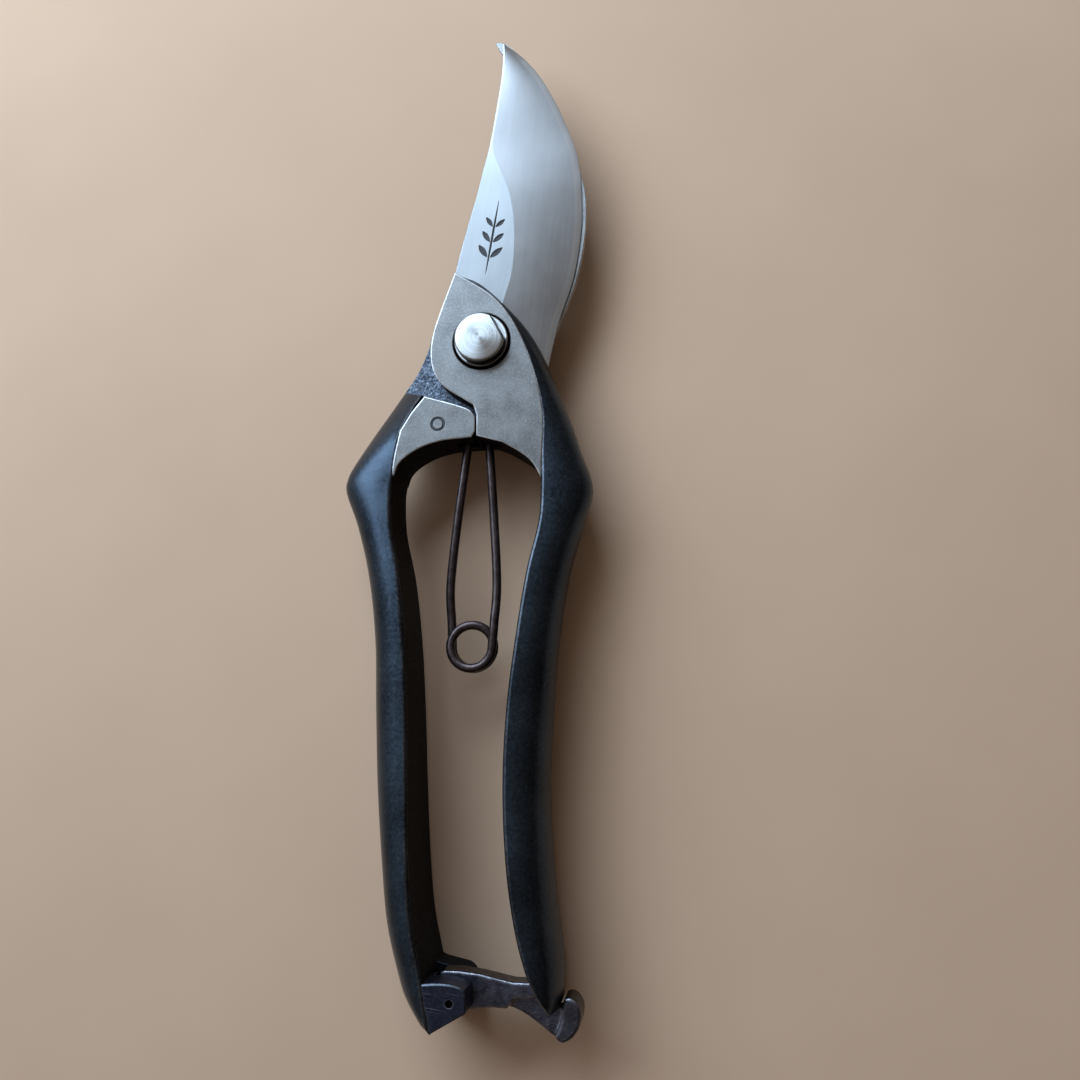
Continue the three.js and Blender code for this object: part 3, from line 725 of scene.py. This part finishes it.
# Blade stations from tip to heel: spine x, y, bevel line x, y, edge x, y, spine height.
CUTTING_BLADE = [
    (3.2, 67.3, 3.4, 67.5, 3.6, 67.6, 10.9),
    (3.3, 63.8, 3.6, 63.8, 7.6, 63.9, 11.5),
    (3.1, 58.9, 3.5, 58.9, 11.2, 59.2, 12.1),
    (2.2, 51.6, 2.6, 51.6, 14.8, 52.2, 12.8),
    (0.9, 43.1, 1.5, 43.1, 18.2, 43.4, 13.3),
    (-0.4, 37.9, 2.9, 38.1, 19.3, 38.2, 13.4),
    (-1.7, 32.6, 5.0, 32.6, 19.7, 32.8, 13.4),
    (-3.7, 25.4, 6.1, 25.0, 19.6, 24.8, 13.4),
    (-6.0, 16.4, 5.7, 15.6, 18.0, 14.6, 13.4),
    (-7.0, 11.0, 3.9, 9.0, 14.8, 4.8, 13.4),
    (-7.6, 4.0, 2.0, 2.0, 12.6, -4.8, 13.4),
]
EDGE_LAND = 0.12
HONED_WIDTH = 1.4  # of the second, steeper bevel along the edge
HONED_RISE = 0.09  # how far it stands above the main bevel's plane
BEVEL_CROWN = 0.16  # how far the main bevel bulges at its middle
BEVEL_POINTS = 8


def cutting_ring(station):
    spine, bevel, edge, height = station[:2], station[2:4], station[4:6], station[6]
    width = max(np.linalg.norm(edge - bevel), 1e-6)
    edge_z = UPPER_FLOOR + EDGE_LAND
    scale = min(1.0, width / 8)
    honed = 1 - min(HONED_WIDTH / width, 0.3)
    lift = HONED_RISE * scale
    ring = [(*spine, UPPER_FLOOR), (*spine, height - RIM), (*(spine + (bevel - spine) * 0.02), height)]
    for share in np.linspace(0, honed, BEVEL_POINTS):
        place = bevel + (edge - bevel) * share
        z = height + (edge_z - height) * share
        z += lift * share / honed + BEVEL_CROWN * scale * 4 * share / honed * (1 - share / honed)
        ring.append((*place, z))
    middle = (1 + honed) / 2
    ring.append((*(bevel + (edge - bevel) * middle), edge_z + (height - edge_z) * (1 - middle) + lift * 0.7))
    ring.append((*edge, edge_z))
    ring.append((*edge, UPPER_FLOOR))
    return ring


def cutting_blade():
    rings = [cutting_ring(station) for station in spline(CUTTING_BLADE, BLADE_STEPS)]
    segments = np.full(len(rings[0]), BEVEL)
    segments[0] = GROUND
    segments[1] = BRIGHT
    segments[2] = FLAT
    segments[3 + BEVEL_POINTS - 1:3 + BEVEL_POINTS + 1] = EDGE
    segments[-2:] = GROUND
    return loft("cutting_blade", rings, segments)


def cutting_boss():
    points = outline(
        spline([(-5.6, 14.7), (1.7, 9.8), (6.1, 4.4), (9.2, -2.4), (11.2, -8.7), (12.3, -15.0)], 60),
        spline([(12.4, -19.0), (12.1, -23.6), (12.0, -27.4)], 12),
        spline(RIGHT_ARCH[:0:-1], 24),
        [(CUTTING_STOP_X, -19.3), (CUTTING_STOP_X, -15.0)],
        spline(BOSS_LEFT[::-1], 60),
    )
    return slab("cutting_boss", points, UPPER_FLOOR, FRONT_Z, (0.1, RIM))


def boss_slope():
    """The forged slope between the boss's ground face and the blade."""
    return handle("boss_slope", [
        (-5.75, 13.8, -5.5, 15.5, 5.5, 2.0),
        (-1.0, 10.6, -0.1, 13.0, 5.6, 2.0),
        (5.2, 4.4, 7.2, 5.3, 5.6, 2.1),
        (8.6, -2.4, 11.3, -1.1, 5.7, 2.2),
        (10.6, -8.7, 14.2, -7.9, 5.7, 2.2),
    ], steps=60)


def cutting_shoulder():
    """The back layer of the stop, mirrored from the front shoulder of the other half."""
    points = outline(
        spline([(12.4, -12.0), (9.4, -10.9), (3.5, -12.7), (0.2, -14.0), (CUTTING_STOP_X, -15.6)], 40),
        [(CUTTING_STOP_X, -19.3)],
        spline(RIGHT_ARCH, 30),
        [(12.6, -27.6), (14.0, -20.0)],
    )
    return slab("cutting_shoulder", points, BACK_Z, SPLIT_Z + 1, (RIM, 0.0))


# -------- engraving

MARK_DEPTH = 0.14
SPRIG_FOOT = (0.2, 14.6)  # a leaf sprig in place of engraved characters
SPRIG_HEAD = (3.0, 31.0)
STEM_WIDTH = 0.42
LEAF_PAIRS = 3
LEAF_LENGTH = 3.3
LEAF_WIDTH = 1.15
LEAF_SHRINK = 0.12  # of each pair, from the one below
LEAF_STALK = 0.45
LEAF_SPREAD = 42  # degrees from the stem
FIRST_LEAVES, LEAF_SPACING = 0.22, 0.2
RING_X, RING_Y = -8.7, -16.7  # a ring in place of the stamped letter
RING_OUTER, RING_INNER = 1.5, 0.95


def leaf_outline(foot, angle, length, width):
    """A pointed leaf from its foot, at an angle in degrees."""
    share = np.linspace(0, 1, 13)
    half = width / 2 * np.sin(math.pi * share) ** 0.8
    along = np.concatenate([share, share[-2:0:-1]]) * length
    aside = np.concatenate([half, -half[-2:0:-1]])
    c, s = direction(angle)
    return np.column_stack([foot[0] + along * c - aside * s, foot[1] + along * s + aside * c])


def engraving(height):
    """Cutters for a generic leaf sprig on the blade flat."""
    foot, head = np.array(SPRIG_FOOT), np.array(SPRIG_HEAD)
    angle = math.degrees(math.atan2(*(head - foot)[::-1]))
    shapes = [leaf_outline(foot, angle, np.linalg.norm(head - foot), STEM_WIDTH)]
    for i in range(LEAF_PAIRS):
        start = foot + (head - foot) * (FIRST_LEAVES + LEAF_SPACING * i)
        size = 1 - LEAF_SHRINK * i
        for turned in (angle - LEAF_SPREAD, angle + LEAF_SPREAD):
            foot_of_leaf = start + direction(turned) * LEAF_STALK
            shapes.append(leaf_outline(foot_of_leaf, turned, LEAF_LENGTH * size, LEAF_WIDTH * size))
    return [slab("leaf", shape, height - MARK_DEPTH, height + 1, wall=MARK, caps=MARK) for shape in shapes]


def punched_ring():
    """A cutter for a small ring punched in the stop shoulder."""
    floor_z = FRONT_Z - MARK_DEPTH
    ring = disc("ring", RING_X, RING_Y, RING_OUTER, floor_z, FRONT_Z + 1, wall=MARK, caps=MARK)
    return cut(ring, disc("ring_middle", RING_X, RING_Y, RING_INNER, 0, FRONT_Z + 2, wall=MARK))


# -------- both halves

EDGE_OFFSET = 0.02  # keeps a cut's wall off the wall that it runs along


def latch_notch():
    """The notch in the handle's end that the latch's arm lies in."""
    points = [(FAR / 4, -FAR * 2.5), (FAR / 2, -FAR * 2.5), (FAR / 2, NOTCH_Y), (FAR / 6, NOTCH_Y)]
    return slab("notch", np.array(points), STRAP_BOTTOM - CLEARANCE, ARM_TOP + CLEARANCE)


def cutting_half():
    forging = handle("right_handle", RIGHT_HANDLE)
    joined(forging, boss_slope(), cutting_shoulder(), cutting_boss(), cutting_blade())
    edge = [(2 * STOP_X - x + EDGE_OFFSET, y) for x, y in SHOULDER_EDGE]
    return cut(
        forging,
        swing_room("swing", edge, -1, UPPER_FLOOR),
        disc("bore", 0, 0, SHANK_RADIUS + CLEARANCE, 0, FRONT_Z + 1),
        disc("head_recess", 0, 0, RECESS_RADIUS, RECESS_FLOOR, FRONT_Z + 1),
        flared("recess_rim", RECESS_RADIUS, FRONT_Z, RECESS_RIM),
        spring_seat(SEAT_RIGHT_X),
        latch_notch(),
        *engraving(CUTTING_BLADE[-3][-1]),
    )


# Hook-shaped counter blade, tip to root: inner x, y, outer x, y, underside height.
COUNTER_BLADE = [
    (1.4, 68.3, 1.7, 68.4, 8.6),
    (2.3, 66.6, 3.9, 67.8, 8.3),
    (4.3, 63.4, 7.5, 63.9, 7.8),
    (8.2, 57.0, 11.9, 57.9, 7.0),
    (11.1, 50.0, 15.4, 51.0, 6.3),
    (12.9, 42.0, 18.0, 42.2, 5.8),
    (13.6, 33.5, 20.4, 33.2, 5.5),
    (12.7, 24.5, 20.3, 23.6, 5.4),
    (9.8, 16.0, 18.3, 13.6, 5.2),
    (5.0, 9.0, 14.6, 4.2, 4.9),
    (0.0, 3.0, 10.8, -3.0, 4.8),
]


def counter_ring(station):
    """A hook section: flat above, with its underside rounded up towards both edges."""
    inner, outer, low = station[:2], station[2:4], station[4]
    depth = LOWER_CEILING - low
    ring = [(*inner, LOWER_CEILING), (*(inner + (outer - inner) * 0.985), LOWER_CEILING),
            (*outer, LOWER_CEILING - 0.12)]
    for angle in np.radians(np.linspace(12, 168, 12)):
        share = 0.5 + 0.5 * math.copysign(abs(math.cos(angle)) ** 0.7, math.cos(angle))
        z = LOWER_CEILING - depth * math.sin(angle) ** 0.6
        ring.append((*(inner + (outer - inner) * share), z))
    ring.append((*inner, LOWER_CEILING - 0.3))
    return ring


def counter_blade():
    rings = [counter_ring(station) for station in spline(COUNTER_BLADE, BLADE_STEPS)]
    segments = np.full(len(rings[0]), GROUND)
    segments[1:3] = BRIGHT
    return loft("counter_blade", rings, segments)


def counter_boss():
    """The back layer: the counter boss around the pivot, out to the handle and the arch."""
    points = outline(
        spline([(COUNTER_STOP_X, -15.0), (-0.5, -13.2), (1.7, -12.0), (5.4, -10.0), (7.8, -7.4),
                (9.4, -4.2), (10.8, -0.8), (12.2, 3.0), (13.2, 6.4)], 60),
        spline([(9.0, 13.0), (4.0, 11.6), (-2.0, 11.6), (-7.0, 9.8), (-10.8, 6.0), (-12.4, 0.6),
                (-14.6, -4.4), (-17.0, -8.0)], 60),
        [(-20.6, -15.0), (-19.6, -26.6)],
        spline(LEFT_ARCH[::-1], 30),
        [(COUNTER_STOP_X, -19.6)],
    )
    return slab("counter_boss", points, BACK_Z, LOWER_CEILING, (RIM, 0.35), rim=WORN)


def stop_shoulder():
    """The raised front shoulder with the stop face."""
    points = outline(
        spline(SHOULDER_EDGE[1:], 40),
        [(COUNTER_STOP_X, -18.4), (-1.9, -19.6)],
        spline(LEFT_ARCH, 40),
        [(-18.0, -26.6), (-17.4, -22.3)],
        spline([(-16.4, -17.8), (-14.2, -14.2)], 3),
    )
    return slab("stop_shoulder", points, SPLIT_Z - 1, FRONT_Z, (0.0, RIM))


POCKET_FLOOR = LOWER_CEILING - 0.34


def hammered_pocket():
    """The part of the recess floor that the boss never slides on, a little lower and left as forged."""
    points = outline(
        spline([(-5.0, 12.6)] + BOSS_LEFT, 60),
        [(-1.6, -16.6), (-22.0, -16.6), (-22.0, 14.0), (-5.0, 14.0)],
    )
    return slab("pocket", points, POCKET_FLOOR, SPLIT_Z + 0.05, caps=HAMMERED)


def latch_lugs():
    """The front and back lugs at the handle's end. The slot for the latch is cut between them."""
    lower_end = [(-1.2, -123.4), (-1.2, -126.6), (-7.4, -130.15), (-7.8, -129.9), (-8.7, -126.4)]
    front = outline(
        [(-9.7, -122.0)],
        spline([(-9.2, -121.8), (-6.5, -121.6), (-4.2, -121.7), (-2.4, -122.1), (-1.5, -122.6)], 16),
        lower_end,
    )
    back = outline(
        [(-10.6, -122.0), (-10.9, -116.9)],
        spline([(-10.4, -118.9), (-9.5, -120.3), (-6.9, -121.0), (-4.0, -121.7), (-2.9, -122.7)], 30),
        [(-2.2, -124.4)] + lower_end[1:],
    )
    lugs = slab("front_lug", front, SPLIT_Z, CHEEK_TOP, (0.0, 0.3), wall=FILED, caps=FILED, rim=WORN)
    return joined(lugs, slab("back_lug", back, CHEEK_BOTTOM, BACK_LUG_TOP, (0.3, 0.0), caps=OXIDE))


def latch_slot():
    points = outline(
        [(-8.6, -118.5), (-8.3, -123.0), (-8.0, -127.0), (-7.4, -FAR * 2.5)],
        [(FAR / 2, -FAR * 2.5), (FAR / 2, -118.5)],
    )
    return slab("slot", points, STRAP_BOTTOM - CLEARANCE, STRAP_TOP + CLEARANCE, caps=WALL)


def counter_half():
    forging = handle("left_handle", LEFT_HANDLE)
    joined(forging, counter_boss(), stop_shoulder(), counter_blade(), latch_lugs())
    edge = [(x - EDGE_OFFSET, y + EDGE_OFFSET) for x, y in SHOULDER_EDGE]
    cut(
        forging,
        swing_room("swing", edge, LOWER_CEILING, FAR),
        disc("bore", 0, 0, SHANK_RADIUS + CLEARANCE, 0, FRONT_Z),
        disc("back_recess", 0, 0, BACK_RECESS_RADIUS, 0, BACK_RECESS_CEILING, caps=GROUND),
        spring_seat(SEAT_LEFT_X),
        latch_slot(),
        disc("pin_hole", LATCH_PIN_X, LATCH_PIN_Y, LATCH_PIN_RADIUS + CLEARANCE, -1, PIN_TOP + CLEARANCE),
        disc("punch_hole", LATCH_PIN_X, LATCH_PIN_Y, PUNCH_HOLE_RADIUS, PIN_TOP, CHEEK_TOP + 1),
        hammered_pocket(),
        punched_ring(),
    )
    for face in forging.data.polygons:
        if abs(face.center.z / MM - POCKET_FLOOR) < 0.01 and face.normal.z > 0.99:
            face.material_index = HAMMERED
    return forging


finished(cutting_half(), "cutting_half_forging", "cutting", "cutting_half", forged)
finished(counter_half(), "counter_half_forging", "counter", "counter_half", forged)

# -------- pivot hardware

SHADOW_FROM, SHADOW_TO = -124, 2  # directions between which the flange is painted dark as the head's painted shadow, in degrees

bright = [turned_steel("turned_steel", (0.54, 0.575, 0.6), (0.31, 0.335, 0.352), 0.3)] * FINISH_COUNT
# The head's side, the wall of its flat and part of the flange are painted nearly black as painted shade.
bright[WALL] = turned_steel("bolt_steel_in_painted_shade", (0.075, 0.07, 0.07), (0.03, 0.028, 0.028), 0.33)
plated = [plated_steel("plated_steel")] * FINISH_COUNT


def pivot_bolt():
    head_bottom = RECESS_FLOOR + CLEARANCE
    shank_end = NUT_TOP + CLEARANCE
    profile = [
        (0, 0), (THREAD_RADIUS - 0.5, 0), (THREAD_RADIUS, 0.5), (THREAD_RADIUS, shank_end),
        (SHANK_RADIUS, shank_end), (SHANK_RADIUS, head_bottom), (FLANGE_RADIUS, head_bottom),
        (FLANGE_RADIUS, FLANGE_TOP - 0.15), (FLANGE_RADIUS - 0.15, FLANGE_TOP), (HEAD_RADIUS, FLANGE_TOP),
    ]
    for angle in np.radians(np.linspace(0, 84, 9)):
        profile.append((HEAD_RADIUS - HEAD_FILLET * (1 - math.cos(angle)),
                        HEAD_TOP - HEAD_CROWN - HEAD_FILLET * (1 - math.sin(angle))))
    rim_radius = profile[-1][0]
    for share in np.linspace(0.92, 0.08, 8):
        profile.append((rim_radius * share, HEAD_TOP - HEAD_CROWN * share ** 2))
    profile.append((0, HEAD_TOP))
    bands = [GROUND if z < SHANK_FINISH_TOP or radius < HEAD_RADIUS or rim == FLANGE_TOP else WALL
             for (radius, z), (_, rim) in zip(profile, profile[1:])]
    bolt = cut(lathe("bolt", profile, bands), head_flat())
    # The part of the flange's top in the head's shadow is painted dark as a painted shadow.
    for face in bolt.data.polygons:
        x, y, z = face.center / MM
        if abs(z - FLANGE_TOP) < 0.01 and SHADOW_FROM < math.degrees(math.atan2(y, x)) < SHADOW_TO:
            face.material_index = WALL
    return bolt


def head_flat():
    """A cutter for the flat on the head. It leans a little, so that its foot shows from above."""
    far = 2 * HEAD_RADIUS
    c, s = direction(HEAD_FLAT_ANGLE)
    heel = HEAD_FLAT + HEAD_FLAT_LEAN
    rings = []
    for near, z in ((heel, FLANGE_TOP), (HEAD_FLAT, HEAD_TOP), (HEAD_FLAT, HEAD_TOP + 1)):
        corners = np.array([(near, -far), (far, -far), (far, far), (near, far)])
        rings.append(at_height(corners @ np.array([[c, s], [-s, c]]), z))
    return loft("head_flat", rings, WALL)


def pivot_nut():
    across = NUT_ACROSS_FLATS / 2
    corner = across / math.cos(math.pi / 6)
    blank = slab("nut", arc(0, 0, corner, 0, 300, 5), NUT_BOTTOM, NUT_TOP, wall=GROUND)
    profile = [(0, NUT_BOTTOM), (across - 0.3, NUT_BOTTOM), (corner + NUT_CHAMFER, NUT_CHAMFER * 1.9),
               (corner + NUT_CHAMFER, NUT_TOP), (0, NUT_TOP)]
    chamfered = lathe("chamfer", profile, [GROUND] * len(profile))
    combined("INTERSECT", blank, [chamfered])
    bore = disc("bore", 0, 0, THREAD_RADIUS + CLEARANCE, -1, NUT_TOP + 1)
    return cut(blank, bore)


def pivot_washer():
    ring = disc("washer", 0, 0, WASHER_RADIUS, WASHER_BOTTOM, WASHER_TOP, (0.15, 0.15), GROUND, GROUND)
    return cut(ring, disc("bore", 0, 0, SHANK_RADIUS + CLEARANCE, 0, FRONT_Z))


finished(pivot_bolt(), "pivot_bolt_turned", "cutting", "pivot_bolt", bright)
finished(pivot_nut(), "pivot_nut_hexagon", "cutting", "pivot_nut", plated)
finished(pivot_washer(), "pivot_washer_ring", "cutting", "pivot_washer", plated)

# -------- spring

COIL_TOP_Z = SPLIT_Z + COIL_PITCH * COIL_TURNS / 2


def coil_point(turn):
    """A point of the coil, by turns from the foot of the right leg, winding clockwise and down."""
    angle = -2 * math.pi * turn
    return (COIL_X + COIL_RADIUS * math.cos(angle), COIL_Y + COIL_RADIUS * math.sin(angle),
            COIL_TOP_Z - COIL_PITCH * turn)


def leg_points(top_x, bow_x, turn):
    """A bowed leg from its seat in the arch down to the coil."""
    foot_x, _, foot_z = coil_point(turn)
    return [
        (top_x, SEAT_Y + SPRING_END_DEPTH, SPLIT_Z),
        (top_x * 0.45 + bow_x * 0.55, -34, SPLIT_Z),
        (bow_x, -48, (SPLIT_Z + foot_z) / 2),
        (foot_x + (bow_x - foot_x) * 0.5, -56, foot_z),
        (foot_x, COIL_Y, foot_z),
    ]


def tube(name, p):
    """The round wire along points, with slightly rounded ends."""
    ahead = np.gradient(p, axis=0)
    ahead /= np.linalg.norm(ahead, axis=1)[:, None]
    side = np.cross(ahead[0], (0, 0, 1.0))
    rings = []
    turn = np.radians(np.arange(WIRE_SIDES) * 360 / WIRE_SIDES)
    for place, along in zip(p, ahead):
        side = side - along * np.dot(side, along)
        side /= np.linalg.norm(side)
        up = np.cross(along, side)
        rings.append(place + WIRE_RADIUS * (np.outer(np.cos(turn), side) + np.outer(np.sin(turn), up)))
    share = 1 - WIRE_ROUNDING / WIRE_RADIUS
    for end in (0, -1):
        rings[end] = p[end] + (rings[end] - p[end]) * share
    rings.insert(1, rings[1] - p[1] + p[0] + ahead[0] * WIRE_ROUNDING)
    rings.insert(-1, rings[-2] - p[-2] + p[-1] - ahead[-1] * WIRE_ROUNDING)
    return loft(name, rings, GROUND)


def add_spring():
    """One wire: down the right leg, through the coil and up the left leg."""
    right = spline(leg_points(SEAT_RIGHT_X, BOW_RIGHT_X, 0), LEG_STEPS)[:-1]
    coil = [coil_point(turn) for turn in np.linspace(0, COIL_TURNS, COIL_STEPS + 1)]
    left = spline(leg_points(SEAT_LEFT_X, BOW_LEFT_X, COIL_TURNS), LEG_STEPS)[-2::-1]
    wire = tube("return_spring_wire", np.concatenate([right, coil, left]))
    wire.data.materials.append(spring_steel("spring_steel"))
    wire.data.shade_smooth()
    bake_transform(wire)
    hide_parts("spring_left_arm", "spring_right_arm")


add_spring()

# -------- latch

HEEL = [(-6.9, -120.9), (-7.6, -121.5), (-7.9, -124.4), (-7.0, -127.0), (-4.2, -127.9)]
UNDERSIDE = [(-1.4, -127.6), (2.0, -127.2), (5.2, -127.3), (8.2, -128.5), (11.0, -130.3)]
HOOK_BACK = [(13.3, -132.0), (15.4, -132.6), (17.3, -131.7), (18.6, -129.9), (19.0, -127.8),
             (18.8, -126.5), (18.1, -125.3), (17.0, -124.7)]
HOOK_FRONT = [(15.9, -124.9), (15.75, -125.5), (15.6, -126.1), (15.2, -126.7), (14.3, -127.0), (13.2, -126.8)]
SEAT = [(12.3, -126.2), (11.1, -124.6), (10.2, -122.9)]
TOP_EDGE = [(9.6, -122.6), (6.3, -122.6), (3.8, -122.1), (0.0, -121.3), (-4.0, -120.9)]
STEP_EDGE = [(5.2, -127.0), (5.9, -126.5), (6.5, -125.6), (7.6, -125.2), (9.0, -125.3), (10.0, -125.2)]
LATCH_VOXEL = 0.2


def latch():
    """A forged plate: the strap, a thinner arm past a curved step, and a thick hook."""
    arm = slab("latch", outline(
        spline(HEEL, 24), spline(UNDERSIDE + HOOK_BACK, 70), spline(HOOK_FRONT + SEAT, 30), TOP_EDGE,
    ), STRAP_BOTTOM, ARM_TOP, (0.5, 0.5))
    strap = slab("strap", outline(
        spline(HEEL, 24), spline(UNDERSIDE[:3], 12), spline(STEP_EDGE, 20), SEAT[1:], TOP_EDGE,
    ), STRAP_BOTTOM, STRAP_TOP, (0.3, 0.3))
    pad = slab("pad", outline(
        spline([(14.2, -131.6)] + HOOK_BACK[1:], 36), spline(HOOK_FRONT[:3], 12),
        [(15.3, -128.4), (14.9, -130.0)],
    ), PAD_BOTTOM, PAD_TOP, (0.5, 0.5))
    soften(merged(arm, strap, pad))
    return cut(arm, disc("bore", LATCH_PIN_X, LATCH_PIN_Y, LATCH_PIN_RADIUS + CLEARANCE, 0, FRONT_Z))


def merged(base, *others):
    """base with the others' meshes added as they are."""
    with edited(base.data) as build:
        for piece in others:
            build.from_mesh(piece.data)
    for piece in others:
        bpy.data.objects.remove(piece)
    return base


def soften(piece):
    """Makes one fine skin round overlapping solids and smooths it, as forging leaves it."""
    skin = piece.modifiers.new("voxels", "REMESH")
    skin.mode = "VOXEL"
    skin.voxel_size = LATCH_VOXEL * MM
    ease = piece.modifiers.new("ease", "SMOOTH")
    ease.iterations = 2
    ease.factor = 0.5
    apply_modifiers(piece)


latch_brown = [latch_steel("latch_steel")] * FINISH_COUNT
finished(latch(), "latch_hook_plate", "latch", "latch", latch_brown, sharp=50)

pin = disc("pin", LATCH_PIN_X, LATCH_PIN_Y, LATCH_PIN_RADIUS, PIN_BOTTOM, PIN_TOP, (0.3, 0.3),
           GROUND, (GROUND, WALL))
dark_pin = [black_oxide("pin_oxide", (0.07, 0.07, 0.08), (0.03, 0.03, 0.035), 0.4, 0.02)] * FINISH_COUNT
# The pin's end, seen down the punch hole, is painted nearly black as painted shade.
dark_pin[WALL] = oxide_in_painted_shade("pin_end_in_painted_shade")
finished(pin, "latch_pin_rivet", "counter", "latch_pin", dark_pin)

# -------- floor, light and camera

FLOOR_HALF_SIDE = 1.5  # metres
WINDOW_PLACE = (-0.25, 0.33, 0.34)
WINDOW_SIZE = (0.63, 0.37)
WINDOW_POWER = 5.2
WINDOW_COLOUR = (0.78, 0.97, 1.17)
WINDOW_SIDE = (-0.6, 0.65, 0.46)
ROOM_DARK, ROOM_LIGHT = 0.02, 0.5
ROOM_FALLOFF = 1.8
ROOM_WARM, ROOM_COOL = (1.0, 0.66, 0.4), (0.93, 0.96, 1.0)
CAMERA_PLACE = Vector((0.0416, -0.0728, 0.223))
CAMERA_RIGHT = Vector((0.98983, 0, -0.14228))
CAMERA_UP = Vector((0.02173, 0.98827, 0.15118))
SENSOR_WIDTH, LENS_LENGTH = 36, 36.667


def floor():
    mesh = bpy.data.meshes.new("floor")
    far = FLOOR_HALF_SIDE
    mesh.from_pydata([(-far, -far, 0), (far, -far, 0), (far, far, 0), (-far, far, 0)], [], [(0, 1, 2, 3)])
    n = Finish("floor_card", Roughness=0.9)
    tone = n.span(n.cloud(0.02, detail=3), 0.3, 0.7)
    mesh.materials.append(n.finish(n.mix(tone, (0.505, 0.35, 0.245), (0.535, 0.374, 0.263))))
    make_object("floor", mesh)


def window():
    light = bpy.data.lights.new("window", "AREA")
    light.shape = "RECTANGLE"
    light.size, light.size_y = WINDOW_SIZE
    light.energy = WINDOW_POWER
    light.color = WINDOW_COLOUR
    made = make_object("window", light)
    made.location = WINDOW_PLACE
    made.rotation_euler = (-Vector(WINDOW_PLACE)).to_track_quat("-Z", "Y").to_euler()


def world():
    """A dim room, lighter on the window's side."""
    made = bpy.data.worlds.new("studio")
    made.use_nodes = True
    n = Nodes(made.node_tree)
    facing = n.dot(n.add("TexCoord").outputs["Generated"], WINDOW_SIDE)
    eased = n.maths("POWER", n.span(facing, -1, 1), ROOM_FALLOFF)
    background = n.tree.nodes["Background"].inputs
    n.tree.links.new(n.span(eased, 0, 1, ROOM_DARK, ROOM_LIGHT), background["Strength"])
    n.tree.links.new(n.mix(eased, ROOM_WARM, ROOM_COOL), background["Color"])
    bpy.context.scene.world = made


def camera():
    data = bpy.data.cameras.new("camera")
    data.sensor_width = SENSOR_WIDTH
    data.lens = LENS_LENGTH
    data.clip_start = 0.01
    made = make_object("camera", data)
    back = CAMERA_RIGHT.cross(CAMERA_UP)
    turned = Matrix((CAMERA_RIGHT, CAMERA_UP, back)).transposed().to_4x4()
    made.matrix_world = Matrix.Translation(CAMERA_PLACE) @ turned
    bpy.context.scene.camera = made


floor()
window()
world()
camera()
bpy.context.scene.view_settings.view_transform = "Standard"
